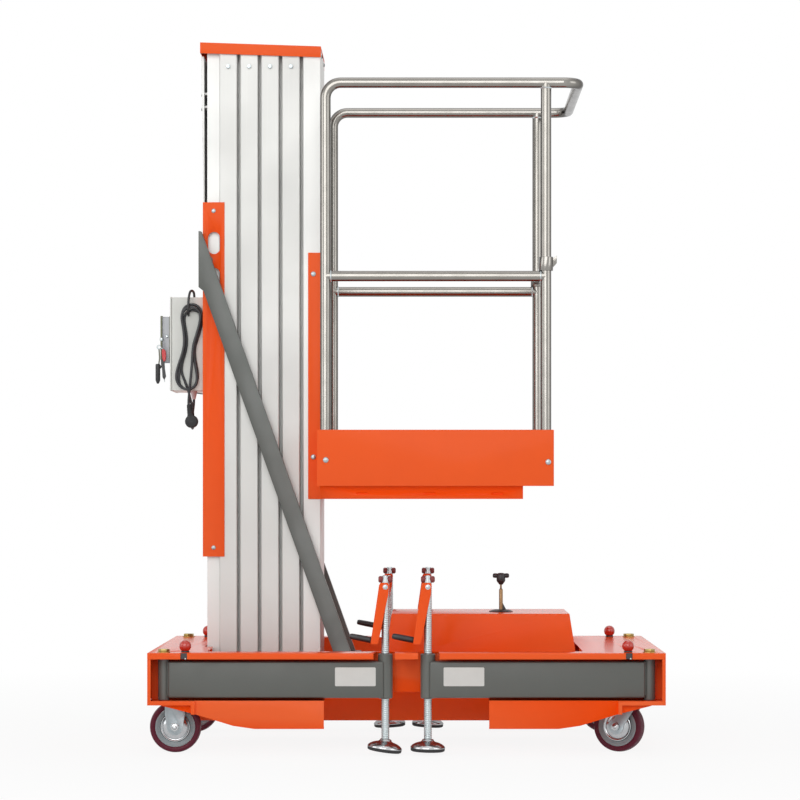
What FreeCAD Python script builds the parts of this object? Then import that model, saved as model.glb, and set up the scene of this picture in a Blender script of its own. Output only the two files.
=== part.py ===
import FreeCAD, Part
import math
import os

# Vertical mast lift: a wheeled steel base, five nested aluminium mast sections and a work platform.
# Millimetres. X runs along the base, Y across it with the near side at -Y, and Z is up from the floor.

# Base sheets
base_length = 1334.0
base_width = 850.0
half_length = base_length / 2
half_width = base_width / 2
deck_top = 265.0
sheet = 3.0
deck_lip = 16.0
end_lip = 9.0
shelf_top = 141.5
shelf_bottom = shelf_top - sheet
shelf_lip = 11.0
shelf_end_width = 65.0
web_half_length = half_length - 122.0
web_bottom = 160.0
skirt_start = 213.0
skirt_setback = 12.0
skirt_bottom = 69.0
skirt_outer_bottom = 107.0
skirt_flat_end = web_half_length - 153.0
skirt_bend_length = 55.0
skirt_bend_rise = 8.0
skirt_nose_x = half_length - 36.0
skirt_nose_depth = 10.0
skirt_return = 20.0
skirt_post = 10.0
cross_plate_top = 160.0
cross_plate = 4.0

# Trough along the middle of the base
trough_half_width = 160.0
trough_half_length = half_length - 107.0
trough_bottom = 70.0
trough_wall = 4.0
trough_floor = trough_bottom + trough_wall
trough_rim = deck_top - 35.0
rim_flange = 20.0

# Outrigger arms
arm_pivot_x = half_length - 39.0
arm_y = half_width - 45.0
arm_width = 50.0
arm_height = 88.0
arm_bottom = 154.0
arm_top = arm_bottom + arm_height
arm_wall = 4.0
arm_root_gap = 13.0
arm_neck_half = 11.0
pivot_tube_radius = 15.0
pivot_bolt_radius = 8.0
pivot_head_across = 26.0
pivot_head_height = 7.0
running_gap = 6.0
seat_gap = 0.3
pin_clearance = 0.1
web_outer = arm_y - arm_width / 2 - running_gap
web_inner = web_outer - sheet

# Lock pins
lock_pin_x = arm_pivot_x - 55.0
lock_pin_radius = 6.0
lock_pin_tip_gap = 5.5
lock_ring_width = 5.0
lock_ring_height = 3.0
lock_ball_radius = 15.5
lock_ball_height = deck_top + 16.0
lock_notch_width = 17.0
lock_notch_depth = 26.0

# Jacks
jack_x = 55.0
sleeve_radius = 19.0
sleeve_bottom = arm_bottom - 8.0
sleeve_top = arm_top + 19.0
screw_radius = 10.5
screw_top = sleeve_top + 201.0
head_radius = 8.5
head_length = 36.0
foot_radius = 45.5
foot_floor_gap = 8.0
foot_rim = 8.0
foot_edge = 2.0
foot_height = 30.0
foot_neck_radius = 14.0
foot_neck_height = 6.0
foot_dome = ((0.86, 6.0), (0.6, 12.0))
foot_flare = 3.0
notch_slant = 5.0
crank_bolt_height = screw_top - 28.0
crank_bolt_radius = 4.0
crank_bolt_reach = 4.0
crank_above_bolt = 11.0
crank_drop = 148.0
crank_lean = 28.0
crank_width = 26.0
crank_behind = 0.62
crank_tip_width = 20.0
crank_inside = 25.0
crank_sheet = 2.5
grip_radius = 6.5
grip_length = 58.0
grip_height = crank_bolt_height - 130.0

# Casters
wheel_radius = 66.5
wheel_width = 36.0
tyre_side_taper = 2.0
tyre_shoulders = ((5.0, 0.0), (1.0, 5.0), (0.0, 10.0))
hub_radius = 52.0
hub_width = 30.0
hub_web_depth = 7.0
hub_rim_inside = 10.0
hub_rim_edge = 7.0
boss_radius = 17.0
boss_foot = 19.0
axle_radius = 6.0
axle_head_width = 5.0
axle_head_height = 6.0
caster_y = half_width - 117.0
fixed_caster_x = half_length - 63.0
swivel_x = half_length - 70.0
swivel_trail = 45.0
near_swivel_heading = 155.0
far_swivel_heading = 186.0
wheel_side_gap = 5.0
fork_leg = 3.5
fork_end_radius = 21.0
fork_top_half = 26.0
fork_neck_rise = 33.6
crown_neck_share = 0.55
crown_neck_drop = 3.0
caster_plate = 4.0
caster_plate_length = 100.0
caster_plate_width = 80.0
race_radius = 32.0
race_height = 4.0
crown_height = 11.7
king_bolt_radius = 8.0
king_nut_radius = 12.0
king_nut_height = 6.0

# Mast sections
section_count = 5
section_width = 48.0
section_depth = 240.0
groove = 8.0
section_wall = 3.5
last_section_width = 48.5
mast_back_x = 130.0 - half_length
first_groove_x = mast_back_x + 85.0
mast_back_inset = 12.0
section_bottom_gap = 6.0
section_top = 1862.0
edge_bevel = 2.5
rail_offset = 70.0
rail_stem_half = 5.0
rail_head_half = 14.0
rail_head = 8.0
rail_mouth_gap = 1.0
sheave_bolt_height = section_top - 43.0
sheave_bolt_radius = 5.0
sheave_bolt_head = 3.0
pitch = section_width + groove
mast_half = section_depth / 2
mast_right = first_groove_x + (section_count - 2) * pitch + groove / 2 + last_section_width
mast_bottom = trough_floor + section_bottom_gap

# Mast cap
cap_left = mast_back_x - 18.0
cap_left_top = section_top + 20.8
cap_right_top = section_top + 10.0
cap_skirt = 29.0
cap_sheet = 2.0
cap_side_gap = 5.0
cap_seat_inset = 10.0
cap_seat_sink = 1.0

# Back channel and struts
channel_back_x = mast_back_x - 11.0
channel_front_x = mast_back_x + 47.0
channel_bottom = 506.0
channel_top = section_top - 407.0
channel_hole_x = mast_back_x + 19.0
channel_hole_width = 32.0
channel_hole_height = 59.0
channel_hole_centres = (channel_top - 109.0, channel_top - 205.0)
guard_half_width = 100.0
guard_gap = 5.0
guard_top = cap_left_top - cap_skirt - guard_gap
guard_lean = 6.0
guard_thickness = 8.0
guard_block_half = 90.0
guard_block_height = 6.0
guard_block_heights = (section_top - 115.0, section_top - 150.0)
strut_thickness = 25.0
strut_outline = (
    (mast_back_x - 20.3, channel_top - 79.4),
    (mast_back_x - 12.8, channel_top - 80.5),
    (mast_back_x + 393.3, trough_rim + sheet),
    (mast_back_x + 346.3, trough_rim + sheet),
    (mast_back_x - 7.0, channel_top - 239.5),
    (mast_back_x - 20.3, channel_top - 228.9),
)
strut_foot = (mast_back_x + 332.0, mast_back_x + 407.0)
strut_foot_thickness = 5.0
strut_foot_edge = 20.0
strut_boss_radius = 11.0
strut_boss_x = mast_back_x + 5.0
strut_boss_height = channel_top - 155.0

# Control box with its switch cover, gland and cord hook
box_left = mast_back_x - 101.0
box_depth = 200.0
box_bottom = 952.0
box_top = 1202.0
box_edge = 3.0
door_thickness = 4.0
door_edge = 1.0
cover_out = 25.0
cover_y = (-62.0, 18.0)
cover_z = (box_bottom + 78.0, box_top - 50.0)
cover_sheet = 3.0
gland_x = box_left + 61.0
gland_y = -60.0
gland_radius = 9.0
gland_length = 22.0
hook_radius = 2.5
hook_points = (
    (gland_x + 4.0, -92.0, box_top - 4.0),
    (gland_x + 2.0, -94.0, box_top + 17.0),
    (gland_x - 5.0, -118.0, box_top + 14.0),
    (gland_x - 9.0, -127.5, box_top - 10.0),
    (gland_x - 10.0, -127.0, box_top - 44.0),
    (gland_x - 10.0, -106.0, box_top - 47.0),
)

# Supply cord, hung in a hank on the near side of the box
cord_diameter = 7.0
cord_y = -110.3
hank_radius = 29.0
hank_thickness = 22.5
hank_upper = (gland_x - 1.5, box_top - 49.5)
hank_lower = (gland_x - 17.5, box_bottom + 30.5)
lead_points = (
    (gland_x, gland_y, box_bottom - gland_length),
    (gland_x, gland_y, box_bottom - gland_length - 16.0),
    (gland_x - 2.0, gland_y + 22.0, box_bottom - 98.0),
    (gland_x - 2.0, gland_y - 34.0, box_bottom - 98.0),
    (gland_x - 2.0, gland_y - 34.0, box_bottom - 52.0),
    (gland_x - 15.0, gland_y - 48.5, box_bottom - 6.0),
    (gland_x - 16.0, gland_y - 48.5, box_bottom + 10.0),
)
lead_roundness = 0.45
tail_top = (gland_x - 6.5, cord_y - 7.0, box_bottom + 13.0)
tail_end = (gland_x - 10.0, cord_y, box_bottom - 39.0)
plug_centre = (gland_x - 2.0, box_bottom - 84.0)
plug_radius = 17.4
plug_thickness = 24.0
plug_neck_radius = 8.5
plug_neck_taper = 2.0
plug_pin_radius = 2.4
plug_pin_length = 19.0
plug_pin_spacing = 19.0

# Covers on the deck and the hydraulic power unit under them
cover_left = -61.0
cover_right = 452.0
cover_half_width = 167.0
cover_top = deck_top + 89.0
cover_taper = 19.0
lid_left = mast_right + running_gap
lid_half_width = trough_half_width + rim_flange - 4.0
lid_overlap = 4.0
deck_hole = (mast_back_x + 17.0, cover_right + running_gap)
power_unit_x = (cover_left + 81.0, cover_right - 52.0)
power_unit_half_width = 95.0
knob_x = cover_right - 199.0
knob_y = -25.0
knob_disc_radius = 31.0
knob_disc = 4.0
knob_rod_radius = 4.0
knob_top = cover_top + 98.0
knob_bar_length = 45.0
knob_bar_radius = 6.0

# Platform
platform_right = mast_right + 615.5
platform_half_width = 317.0
floor_height = 695.0
floor_sheet = 3.0
tread_height = 2.0
tread_margin = 3.0
toe_height = 147.0
beam_height = 34.0
beam_flange = 32.0
beam_y = platform_half_width - 17.0
beam_right = platform_right - 80.0
beam_slot_length = 30.0
beam_slot_height = 5.0
beam_slot_rise = 12.0
cross_beam_x = (mast_right + 94.5, mast_right + 271.5, mast_right + 448.5)
cross_beam_width = 40.0
bracket_left = mast_right - 34.5
bracket_bottom = floor_height - 35.0
bracket_top = floor_height + 625.0
bracket_sheet = 4.0
bracket_face = mast_right + bracket_sheet
tube_radius = 13.75
rail_y = platform_half_width - 17.0
left_post_x = mast_right + 18.5
right_post_x = platform_right - 20.0
rail_end_x = platform_right + 66.0
rail_bend = 40.0
top_rail = floor_height + 1055.0
mid_rail = floor_height + 549.0
collar_gap = 0.5
collar_wall = 4.0
collar_height = 36.0
gate_tube_radius = 12.0
gate_tab_length = 14.0
gate_tab_height = 20.0
gate_tab_lift = 4.0
gate_tab_fall = 6.0
gate_tab = 4.0

swivels = {
    "near": (-1, near_swivel_heading),
    "far": (1, far_swivel_heading),
}
corners = {
    "near_left": (-1, -1),
    "near_right": (1, -1),
    "far_left": (-1, 1),
    "far_right": (1, 1),
}


def vec(x, y, z):
    return FreeCAD.Vector(x, y, z)


def block(x0, x1, y0, y1, z0, z1):
    return Part.makeBox(x1 - x0, y1 - y0, z1 - z0, vec(x0, y0, z0))


def rod(radius, start, end):
    line = vec(*end) - vec(*start)
    return Part.makeCylinder(radius, line.Length, vec(*start), line)


def fuse(first, *others):
    return first.multiFuse(list(others)).removeSplitter()


def mirror_x(shape):
    return shape.mirror(vec(0, 0, 0), vec(1, 0, 0))


def mirror_y(shape):
    return shape.mirror(vec(0, 0, 0), vec(0, 1, 0))


def both_sides(shape):
    return Part.Compound([shape, mirror_y(shape)])


def prism_xz(points, y0, y1):
    corner = [vec(x, y0, z) for x, z in points]
    face = Part.Face(Part.makePolygon(corner + corner[:1]))
    return face.extrude(vec(0, y1 - y0, 0))


def prism_xy(points, z0, z1):
    corner = [vec(x, y, z0) for x, y in points]
    face = Part.Face(Part.makePolygon(corner + corner[:1]))
    return face.extrude(vec(0, 0, z1 - z0))


def hexagon(x, y, across, z0, z1):
    reach = across / math.sqrt(3)
    angles = [math.radians(60 * k) for k in range(6)]
    return prism_xy([(x + reach * math.cos(a), y + reach * math.sin(a)) for a in angles], z0, z1)


def bent_tube(points, radius, bends):
    """A round bar along straight runs, joined by arcs tangent to them."""
    stops = [vec(*p) for p in points]
    edges = []
    here = stops[0]
    for before, turn, after, bend in zip(stops, stops[1:], stops[2:], bends):
        inward = (before - turn).normalize()
        outward = (after - turn).normalize()
        half_turn = (math.pi - inward.getAngle(outward)) / 2
        cut = bend * math.tan(half_turn)
        start = turn + inward * cut
        end = turn + outward * cut
        middle_line = (inward + outward).normalize()
        middle = turn + middle_line * (bend / math.cos(half_turn) - bend)
        edges.append(Part.LineSegment(here, start).toShape())
        edges.append(Part.Arc(start, middle, end).toShape())
        here = end
    edges.append(Part.LineSegment(here, stops[-1]).toShape())
    path = Part.Wire(edges)
    section = Part.Wire(Part.makeCircle(radius, stops[0], stops[1] - stops[0]))
    return path.makePipeShell([section], True, True)


def save(name, shape):
    solids = shape.Solids
    if len(solids) == 1:
        shape = solids[0]
    shape.exportStep(f"parts/{name}.step")


# Base


def jack_notch(side):
    """Plan of the deck's notch at one near jack, with room for the sleeve to swing out."""
    inner = jack_x - sleeve_radius - running_gap
    outer = jack_x + sleeve_radius + running_gap
    back = -arm_y + sleeve_radius + running_gap
    plan = [
        (side * inner, -half_width - 1),
        (side * inner, back),
        (side * outer, back),
        (side * (outer + notch_slant), -half_width - 1),
    ]
    return prism_xy(plan, deck_top - deck_lip - 1, deck_top + 1)


def base_deck():
    """Top sheet: full plates at both ends, and between them a narrow flange over each pair of arms."""
    plate = block(-half_length, half_length, -half_width, half_width, deck_top - sheet, deck_top)
    lip = block(-half_length, half_length, -half_width, -half_width + sheet, deck_top - deck_lip, deck_top)
    deck = fuse(plate, lip, mirror_y(lip))
    cuts = [
        block(*deck_hole, -web_inner, web_inner, deck_top - deck_lip, deck_top + 1),
        block(
            mast_back_x - running_gap, mast_right,
            -mast_half - running_gap, mast_half + running_gap,
            deck_top - deck_lip, deck_top + 1,
        ),
    ]
    for side in (-1, 1):
        pin = side * lock_pin_x
        pivot = side * arm_pivot_x
        near = [
            jack_notch(side),
            rod(pivot_bolt_radius, (pivot, -arm_y, 0), (pivot, -arm_y, deck_top + 1)),
            rod(lock_pin_radius, (pin, -arm_y, 0), (pin, -arm_y, deck_top + 1)),
            block(
                pin - lock_notch_width / 2, pin + lock_notch_width / 2,
                -half_width - 1, -half_width + lock_notch_depth,
                deck_top - deck_lip - 1, deck_top + 1,
            ),
        ]
        cuts += near
        cuts += [mirror_y(cut) for cut in near]
    return deck.cut(Part.Compound(cuts))


def end_frame():
    """Left end: the end plate, its returned corner lips and the plate that the casters bolt under."""
    plate_x = -half_length + sheet
    reach = half_width - sheet
    plate = block(-half_length, plate_x, -half_width, half_width, shelf_top, deck_top - deck_lip)
    upper = block(-half_length, plate_x, -reach, reach, deck_top - deck_lip, deck_top - sheet)
    corner = block(-half_length, -half_length + end_lip, -half_width, -reach, shelf_top, deck_top - deck_lip)
    cross = block(
        plate_x, -web_half_length, -web_inner, web_inner, cross_plate_top - cross_plate, cross_plate_top
    )
    return fuse(plate, upper, corner, mirror_y(corner), cross)


def trough():
    """Folded trough that hangs under both end plates; in the deck's hole its walls end in a low rim."""
    outside = block(
        -trough_half_length, trough_half_length, -trough_half_width, trough_half_width,
        trough_bottom, deck_top - sheet,
    )
    inside = block(
        -trough_half_length + trough_wall, trough_half_length - trough_wall,
        -trough_half_width + trough_wall, trough_half_width - trough_wall,
        trough_floor, deck_top,
    )
    passage = block(
        -half_length, half_length, -trough_half_width - 1, trough_half_width + 1,
        cross_plate_top - cross_plate, deck_top,
    )
    ends = [
        passage.common(block(-half_length, -web_half_length, -half_width, half_width, 0, deck_top)),
        passage.common(block(web_half_length, half_length, -half_width, half_width, 0, deck_top)),
    ]
    above = block(*deck_hole, -half_width, half_width, trough_rim, deck_top)
    rim = block(
        *deck_hole, -trough_half_width - rim_flange, -trough_half_width, trough_rim - sheet, trough_rim
    )
    walls = outside.cut(inside).cut(Part.Compound([*ends, above]))
    return fuse(walls, rim, mirror_y(rim))


def side_web():
    """Near side wall behind the arms: shallow in the middle, down to the shelves at both ends."""
    top = deck_top - sheet
    outline = [
        (-web_half_length, shelf_top),
        (-skirt_start, shelf_top),
        (-skirt_start, web_bottom),
        (skirt_start, web_bottom),
        (skirt_start, shelf_top),
        (web_half_length, shelf_top),
        (web_half_length, top),
        (-web_half_length, top),
    ]
    return prism_xz(outline, -web_outer, -web_inner)


def skirt():
    """Near left shelf under the arm, with its edge lips and the pointed skirt plate that hangs from it."""
    end_x = -half_length + sheet
    turn_x = -web_half_length
    narrow = block(end_x, turn_x, -half_width, -half_width + shelf_end_width, shelf_bottom, shelf_top)
    broad = block(turn_x, -skirt_start, -half_width + skirt_setback, -web_inner, shelf_bottom, shelf_top)
    lip = block(
        -half_length, turn_x, -half_width, -half_width + sheet, shelf_top - shelf_lip, shelf_top
    )
    post = block(
        turn_x - skirt_post, turn_x, -half_width, -half_width + sheet, skirt_outer_bottom, shelf_top
    )
    side = block(
        turn_x - sheet, turn_x, -half_width, -half_width + skirt_setback + sheet,
        skirt_outer_bottom, shelf_top,
    )
    outline = [
        (turn_x, shelf_top),
        (turn_x, shelf_bottom),
        (-skirt_nose_x, shelf_bottom),
        (-skirt_nose_x, shelf_bottom - skirt_nose_depth),
        (turn_x, skirt_outer_bottom),
        (-skirt_flat_end - skirt_bend_length, skirt_bottom + skirt_bend_rise),
        (-skirt_flat_end, skirt_bottom),
        (-skirt_start, skirt_bottom),
        (-skirt_start, shelf_top),
    ]
    skirt_y = -half_width + skirt_setback
    hanging = prism_xz(outline, skirt_y, skirt_y + sheet)
    foot = block(
        -skirt_flat_end, -skirt_start, skirt_y, skirt_y + skirt_return, skirt_bottom, skirt_bottom + sheet
    )
    whole = fuse(narrow, broad, lip, post, side, hanging, foot)
    hole = rod(pivot_bolt_radius, (-arm_pivot_x, -arm_y, 0), (-arm_pivot_x, -arm_y, deck_top))
    return whole.cut(hole)


def pivot_bolt():
    """Near left bolt that an arm swings on, with its head on the deck and its nut under the shelf."""
    x = -arm_pivot_x
    shank = rod(pivot_bolt_radius, (x, -arm_y, shelf_bottom), (x, -arm_y, deck_top))
    head = hexagon(x, -arm_y, pivot_head_across, deck_top, deck_top + pivot_head_height)
    nut = hexagon(x, -arm_y, pivot_head_across, shelf_bottom - pivot_head_height, shelf_bottom)
    return fuse(shank, head, nut)


def lock_pin():
    """Near left spring pin, drawn up so that its tip just clears the arm."""
    x = -lock_pin_x
    tip = arm_top + lock_pin_tip_gap
    shank = rod(lock_pin_radius, (x, -arm_y, tip), (x, -arm_y, lock_ball_height))
    ball = Part.makeSphere(lock_ball_radius, vec(x, -arm_y, lock_ball_height))
    ring_radius = lock_pin_radius + lock_ring_width
    ring = rod(ring_radius, (x, -arm_y, deck_top), (x, -arm_y, deck_top + lock_ring_height))
    return fuse(shank, ball, ring)


def covers():
    """Tapered power unit cover on the trough's rim, with a flat lid from its left end to the mast."""
    shapes = []
    for inset, height in ((0, cover_top), (cap_sheet, cover_top - cap_sheet)):
        wires = []
        for z, taper in ((trough_rim, 0), (height, cover_taper)):
            x0 = cover_left + inset + taper
            x1 = cover_right - inset - taper
            y1 = cover_half_width - inset - taper
            y0 = -y1
            plan = [vec(x0, y0, z), vec(x1, y0, z), vec(x1, y1, z), vec(x0, y1, z)]
            wires.append(Part.makePolygon(plan + plan[:1]))
        shapes.append(Part.makeLoft(wires, True, True))
    power = shapes[0].cut(shapes[1])
    lid = block(
        lid_left, cover_left + lid_overlap, -lid_half_width, lid_half_width,
        trough_rim, trough_rim + sheet,
    )
    return fuse(power, lid.cut(shapes[1]))


def cover_knob():
    disc = rod(knob_disc_radius, (knob_x, knob_y, cover_top), (knob_x, knob_y, cover_top + knob_disc))
    stem = rod(knob_rod_radius, (knob_x, knob_y, cover_top), (knob_x, knob_y, knob_top))
    half_bar = knob_bar_length / 2
    bar = rod(
        knob_bar_radius, (knob_x - half_bar, knob_y, knob_top), (knob_x + half_bar, knob_y, knob_top)
    )
    return fuse(disc, stem, bar)


def power_unit():
    return block(
        power_unit_x[0], power_unit_x[1], -power_unit_half_width, power_unit_half_width,
        trough_floor, deck_top - sheet - running_gap,
    )


# Mast


def section_left(number):
    """Left face of a numbered section's hollow profile; section 1 is the fixed one."""
    return first_groove_x - groove / 2 - section_width + (number - 1) * pitch


def bevelled(x0, x1, half, bevel, z0, z1):
    outline = [
        (x0 + bevel, -half),
        (x1 - bevel, -half),
        (x1, -half + bevel),
        (x1, half - bevel),
        (x1 - bevel, half),
        (x0 + bevel, half),
        (x0, half - bevel),
        (x0, -half + bevel),
    ]
    return prism_xy(outline, z0, z1)


def mast_section(number):
    """Hollow extrusion. Its right face carries two T rails, which run in the next section's channels."""
    x0 = section_left(number)
    x1 = x0 + (last_section_width if number == section_count else section_width)
    z0 = trough_floor if number == 1 else mast_bottom
    half = mast_half
    profile = bevelled(x0, x1, half, edge_bevel, z0, section_top)
    cavity_depth = rail_head + 2 * seat_gap
    inner_left = x0 + section_wall + cavity_depth + section_wall
    inside = half - section_wall
    hollows = [block(inner_left, x1 - section_wall, -inside, inside, z0 - 1, section_top + 1)]
    if number == 1:
        back = block(mast_back_x, x0, -half + mast_back_inset, half - mast_back_inset, z0, section_top)
        bore = block(
            mast_back_x + section_wall, x0 + section_wall + cavity_depth,
            -half + mast_back_inset + section_wall, half - mast_back_inset - section_wall,
            z0 - 1, section_top + 1,
        )
        profile = fuse(profile, back)
        hollows.append(bore)
    else:
        between = rail_offset - rail_head_half - seat_gap - section_wall
        beyond = rail_offset + rail_head_half + seat_gap + section_wall
        for low, high in ((-inside, -beyond), (-between, between), (beyond, inside)):
            hollows.append(
                block(x0 + section_wall, inner_left - section_wall, low, high, z0 - 1, section_top + 1)
            )
        for side in (-1, 1):
            centre = side * rail_offset
            head = rail_head_half + seat_gap
            mouth = rail_stem_half + rail_mouth_gap
            hollows.append(
                block(
                    x0 + section_wall, x0 + section_wall + cavity_depth,
                    centre - head, centre + head, z0 - 1, section_top + 1,
                )
            )
            hollows.append(
                block(x0 - 1, x0 + section_wall, centre - mouth, centre + mouth, z0 - 1, section_top + 1)
            )
    section = profile.cut(Part.Compound(hollows))
    if number < section_count:
        head_x = x1 + groove + section_wall + seat_gap
        rails = []
        for side in (-1, 1):
            centre = side * rail_offset
            rails.append(
                block(x1 - 1, head_x, centre - rail_stem_half, centre + rail_stem_half, z0, section_top)
            )
            rails.append(
                block(
                    head_x, head_x + rail_head, centre - rail_head_half, centre + rail_head_half,
                    z0, section_top,
                )
            )
            outer = side * half
            bolt_x = x0 + section_width / 2
            rails.append(
                rod(
                    sheave_bolt_radius,
                    (bolt_x, outer - side * section_wall, sheave_bolt_height),
                    (bolt_x, outer + side * sheave_bolt_head, sheave_bolt_height),
                )
            )
        section = fuse(section, *rails)
    return section


def mast_cap():
    """Folded cap that slopes down to the last section, on a block that seats on that section."""
    right = mast_right
    top = [
        (cap_left, cap_left_top),
        (right, cap_right_top),
        (right, cap_right_top - cap_sheet),
        (cap_left, cap_left_top - cap_sheet),
    ]
    side = [
        (cap_left, cap_left_top),
        (right, cap_right_top),
        (right, cap_right_top - cap_skirt),
        (cap_left, cap_left_top - cap_skirt),
    ]
    inner = mast_half + cap_side_gap
    outer = inner + cap_sheet
    plate = prism_xz(top, -outer, outer)
    skirts = [prism_xz(side, -outer, -inner), prism_xz(side, inner, outer)]
    end = block(
        cap_left, cap_left + cap_sheet, -outer, outer, cap_left_top - cap_skirt, cap_left_top - cap_sheet
    )
    seat_left = section_left(section_count) + edge_bevel
    seat_half = mast_half - cap_seat_inset
    seat_top = cap_right_top - cap_seat_sink
    seat = block(seat_left, right - edge_bevel, -seat_half, seat_half, section_top, seat_top)
    return fuse(plate, *skirts, end, seat)


def back_channel():
    outer = mast_half + sheet
    back = block(channel_back_x, channel_back_x + sheet, -outer, outer, channel_bottom, channel_top)
    flange = block(channel_back_x, channel_front_x, -outer, -mast_half, channel_bottom, channel_top)
    channel = fuse(back, flange, mirror_y(flange))
    holes = []
    for centre in channel_hole_centres:
        radius = channel_hole_width / 2
        straight = channel_hole_height / 2 - radius
        for z in (centre - straight, centre + straight):
            holes.append(rod(radius, (channel_hole_x, -outer - 1, z), (channel_hole_x, outer + 1, z)))
        holes.append(
            block(
                channel_hole_x - radius, channel_hole_x + radius, -outer - 1, outer + 1,
                centre - straight, centre + straight,
            )
        )
    return channel.cut(Part.Compound(holes))


def back_guard():
    """Flat bar that carries the back channel's sheet on up to the cap, on two packing blocks."""
    outline = [
        (channel_back_x, channel_top),
        (channel_back_x + sheet, channel_top),
        (channel_back_x - guard_lean + guard_thickness, guard_top),
        (channel_back_x - guard_lean, guard_top),
    ]
    bar = prism_xz(outline, -guard_half_width, guard_half_width)
    packing = [
        block(
            channel_back_x, mast_back_x, -guard_block_half, guard_block_half, z, z + guard_block_height
        )
        for z in guard_block_heights
    ]
    return fuse(bar, *packing)


def strut():
    """Near diagonal brace from the back channel down to a foot plate on the trough's lid."""
    inner = mast_half + running_gap
    bar = prism_xz(strut_outline, -inner - strut_thickness, -inner)
    foot = block(
        strut_foot[0], strut_foot[1], -inner - strut_thickness - strut_foot_edge, -inner,
        trough_rim + sheet, trough_rim + sheet + strut_foot_thickness,
    )
    boss = rod(
        strut_boss_radius,
        (strut_boss_x, -inner, strut_boss_height),
        (strut_boss_x, -mast_half - sheet, strut_boss_height),
    )
    return fuse(bar, foot, boss)


# Control box and cord


def box_hook(radius):
    bars = [rod(radius, start, end) for start, end in zip(hook_points, hook_points[1:])]
    joints = [Part.makeSphere(radius, vec(*point)) for point in hook_points[1:]]
    return bars + joints


def control_box():
    half = box_depth / 2
    body = block(box_left + door_thickness, channel_back_x, -half, half, box_bottom, box_top)
    upright_ends = [e for e in body.Edges if e.BoundBox.XLength < 1]
    body = body.makeFillet(box_edge, upright_ends)
    door_half = half + door_edge
    door = block(
        box_left, box_left + door_thickness, -door_half, door_half,
        box_bottom - door_edge, box_top + door_edge,
    )
    gland = rod(
        gland_radius, (gland_x, gland_y, box_bottom - gland_length), (gland_x, gland_y, box_bottom + 2)
    )
    return fuse(body, door, gland, *box_hook(hook_radius))


def switch_cover():
    """Open-fronted hood over the switches on the left face of the box."""
    hood = block(box_left - cover_out, box_left, cover_y[0], cover_y[1], cover_z[0], cover_z[1])
    inside = block(
        box_left - cover_out - 1, box_left - cover_sheet,
        cover_y[0] + cover_sheet, cover_y[1] - cover_sheet,
        cover_z[0] - 1, cover_z[1] - cover_sheet,
    )
    return hood.cut(inside)


def cord_hank():
    y0 = -box_depth / 2 - seat_gap
    y1 = y0 - hank_thickness
    ends = [
        Part.makeCylinder(hank_radius, hank_thickness, vec(x, y1, z), vec(0, 1, 0))
        for x, z in (hank_upper, hank_lower)
    ]
    rise_x = hank_upper[0] - hank_lower[0]
    rise_z = hank_upper[1] - hank_lower[1]
    length = math.hypot(rise_x, rise_z)
    side_x = hank_radius * rise_z / length
    side_z = -hank_radius * rise_x / length
    middle = prism_xz(
        [
            (hank_lower[0] + side_x, hank_lower[1] + side_z),
            (hank_upper[0] + side_x, hank_upper[1] + side_z),
            (hank_upper[0] - side_x, hank_upper[1] - side_z),
            (hank_lower[0] - side_x, hank_lower[1] - side_z),
        ],
        y1,
        y0,
    )
    hank = fuse(middle, *ends)
    return hank.cut(Part.Compound(box_hook(hook_radius + seat_gap)))


def cord_lead(hank):
    bends = []
    stops = [vec(*p) for p in lead_points]
    for before, turn, after in zip(stops, stops[1:], stops[2:]):
        into = turn - before
        out = after - turn
        half_turn = into.getAngle(out) / 2
        bends.append(lead_roundness * min(into.Length, out.Length) / math.tan(half_turn))
    return bent_tube(lead_points, cord_diameter / 2, bends).cut(hank)


def cord_tail(hank, end_piece):
    return rod(cord_diameter / 2, tail_top, tail_end).cut(Part.Compound([hank, end_piece]))


def plug():
    y = tail_end[1]
    x, z = plug_centre
    back = y + plug_thickness / 2
    body = rod(plug_radius, (x, back - plug_thickness, z), (x, back, z))
    down = vec(x, y, z) - vec(*tail_end)
    neck_top = plug_neck_radius - plug_neck_taper
    neck = Part.makeCone(neck_top, plug_neck_radius, down.Length, vec(*tail_end), down)
    half = plug_pin_spacing / 2
    pins = [
        rod(plug_pin_radius, (x + side * half, back - 1, z), (x + side * half, back + plug_pin_length, z))
        for side in (-1, 1)
    ]
    return fuse(body, neck, *pins)


# Platform


def platform_bracket():
    """Channel wrapped round the last mast section, which carries the platform."""
    outer = mast_half + bracket_sheet
    face = block(mast_right, bracket_face, -outer, outer, bracket_bottom, bracket_top)
    flange = block(bracket_left, bracket_face, -outer, -mast_half, bracket_bottom, bracket_top)
    return fuse(face, flange, mirror_y(flange))


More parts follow.
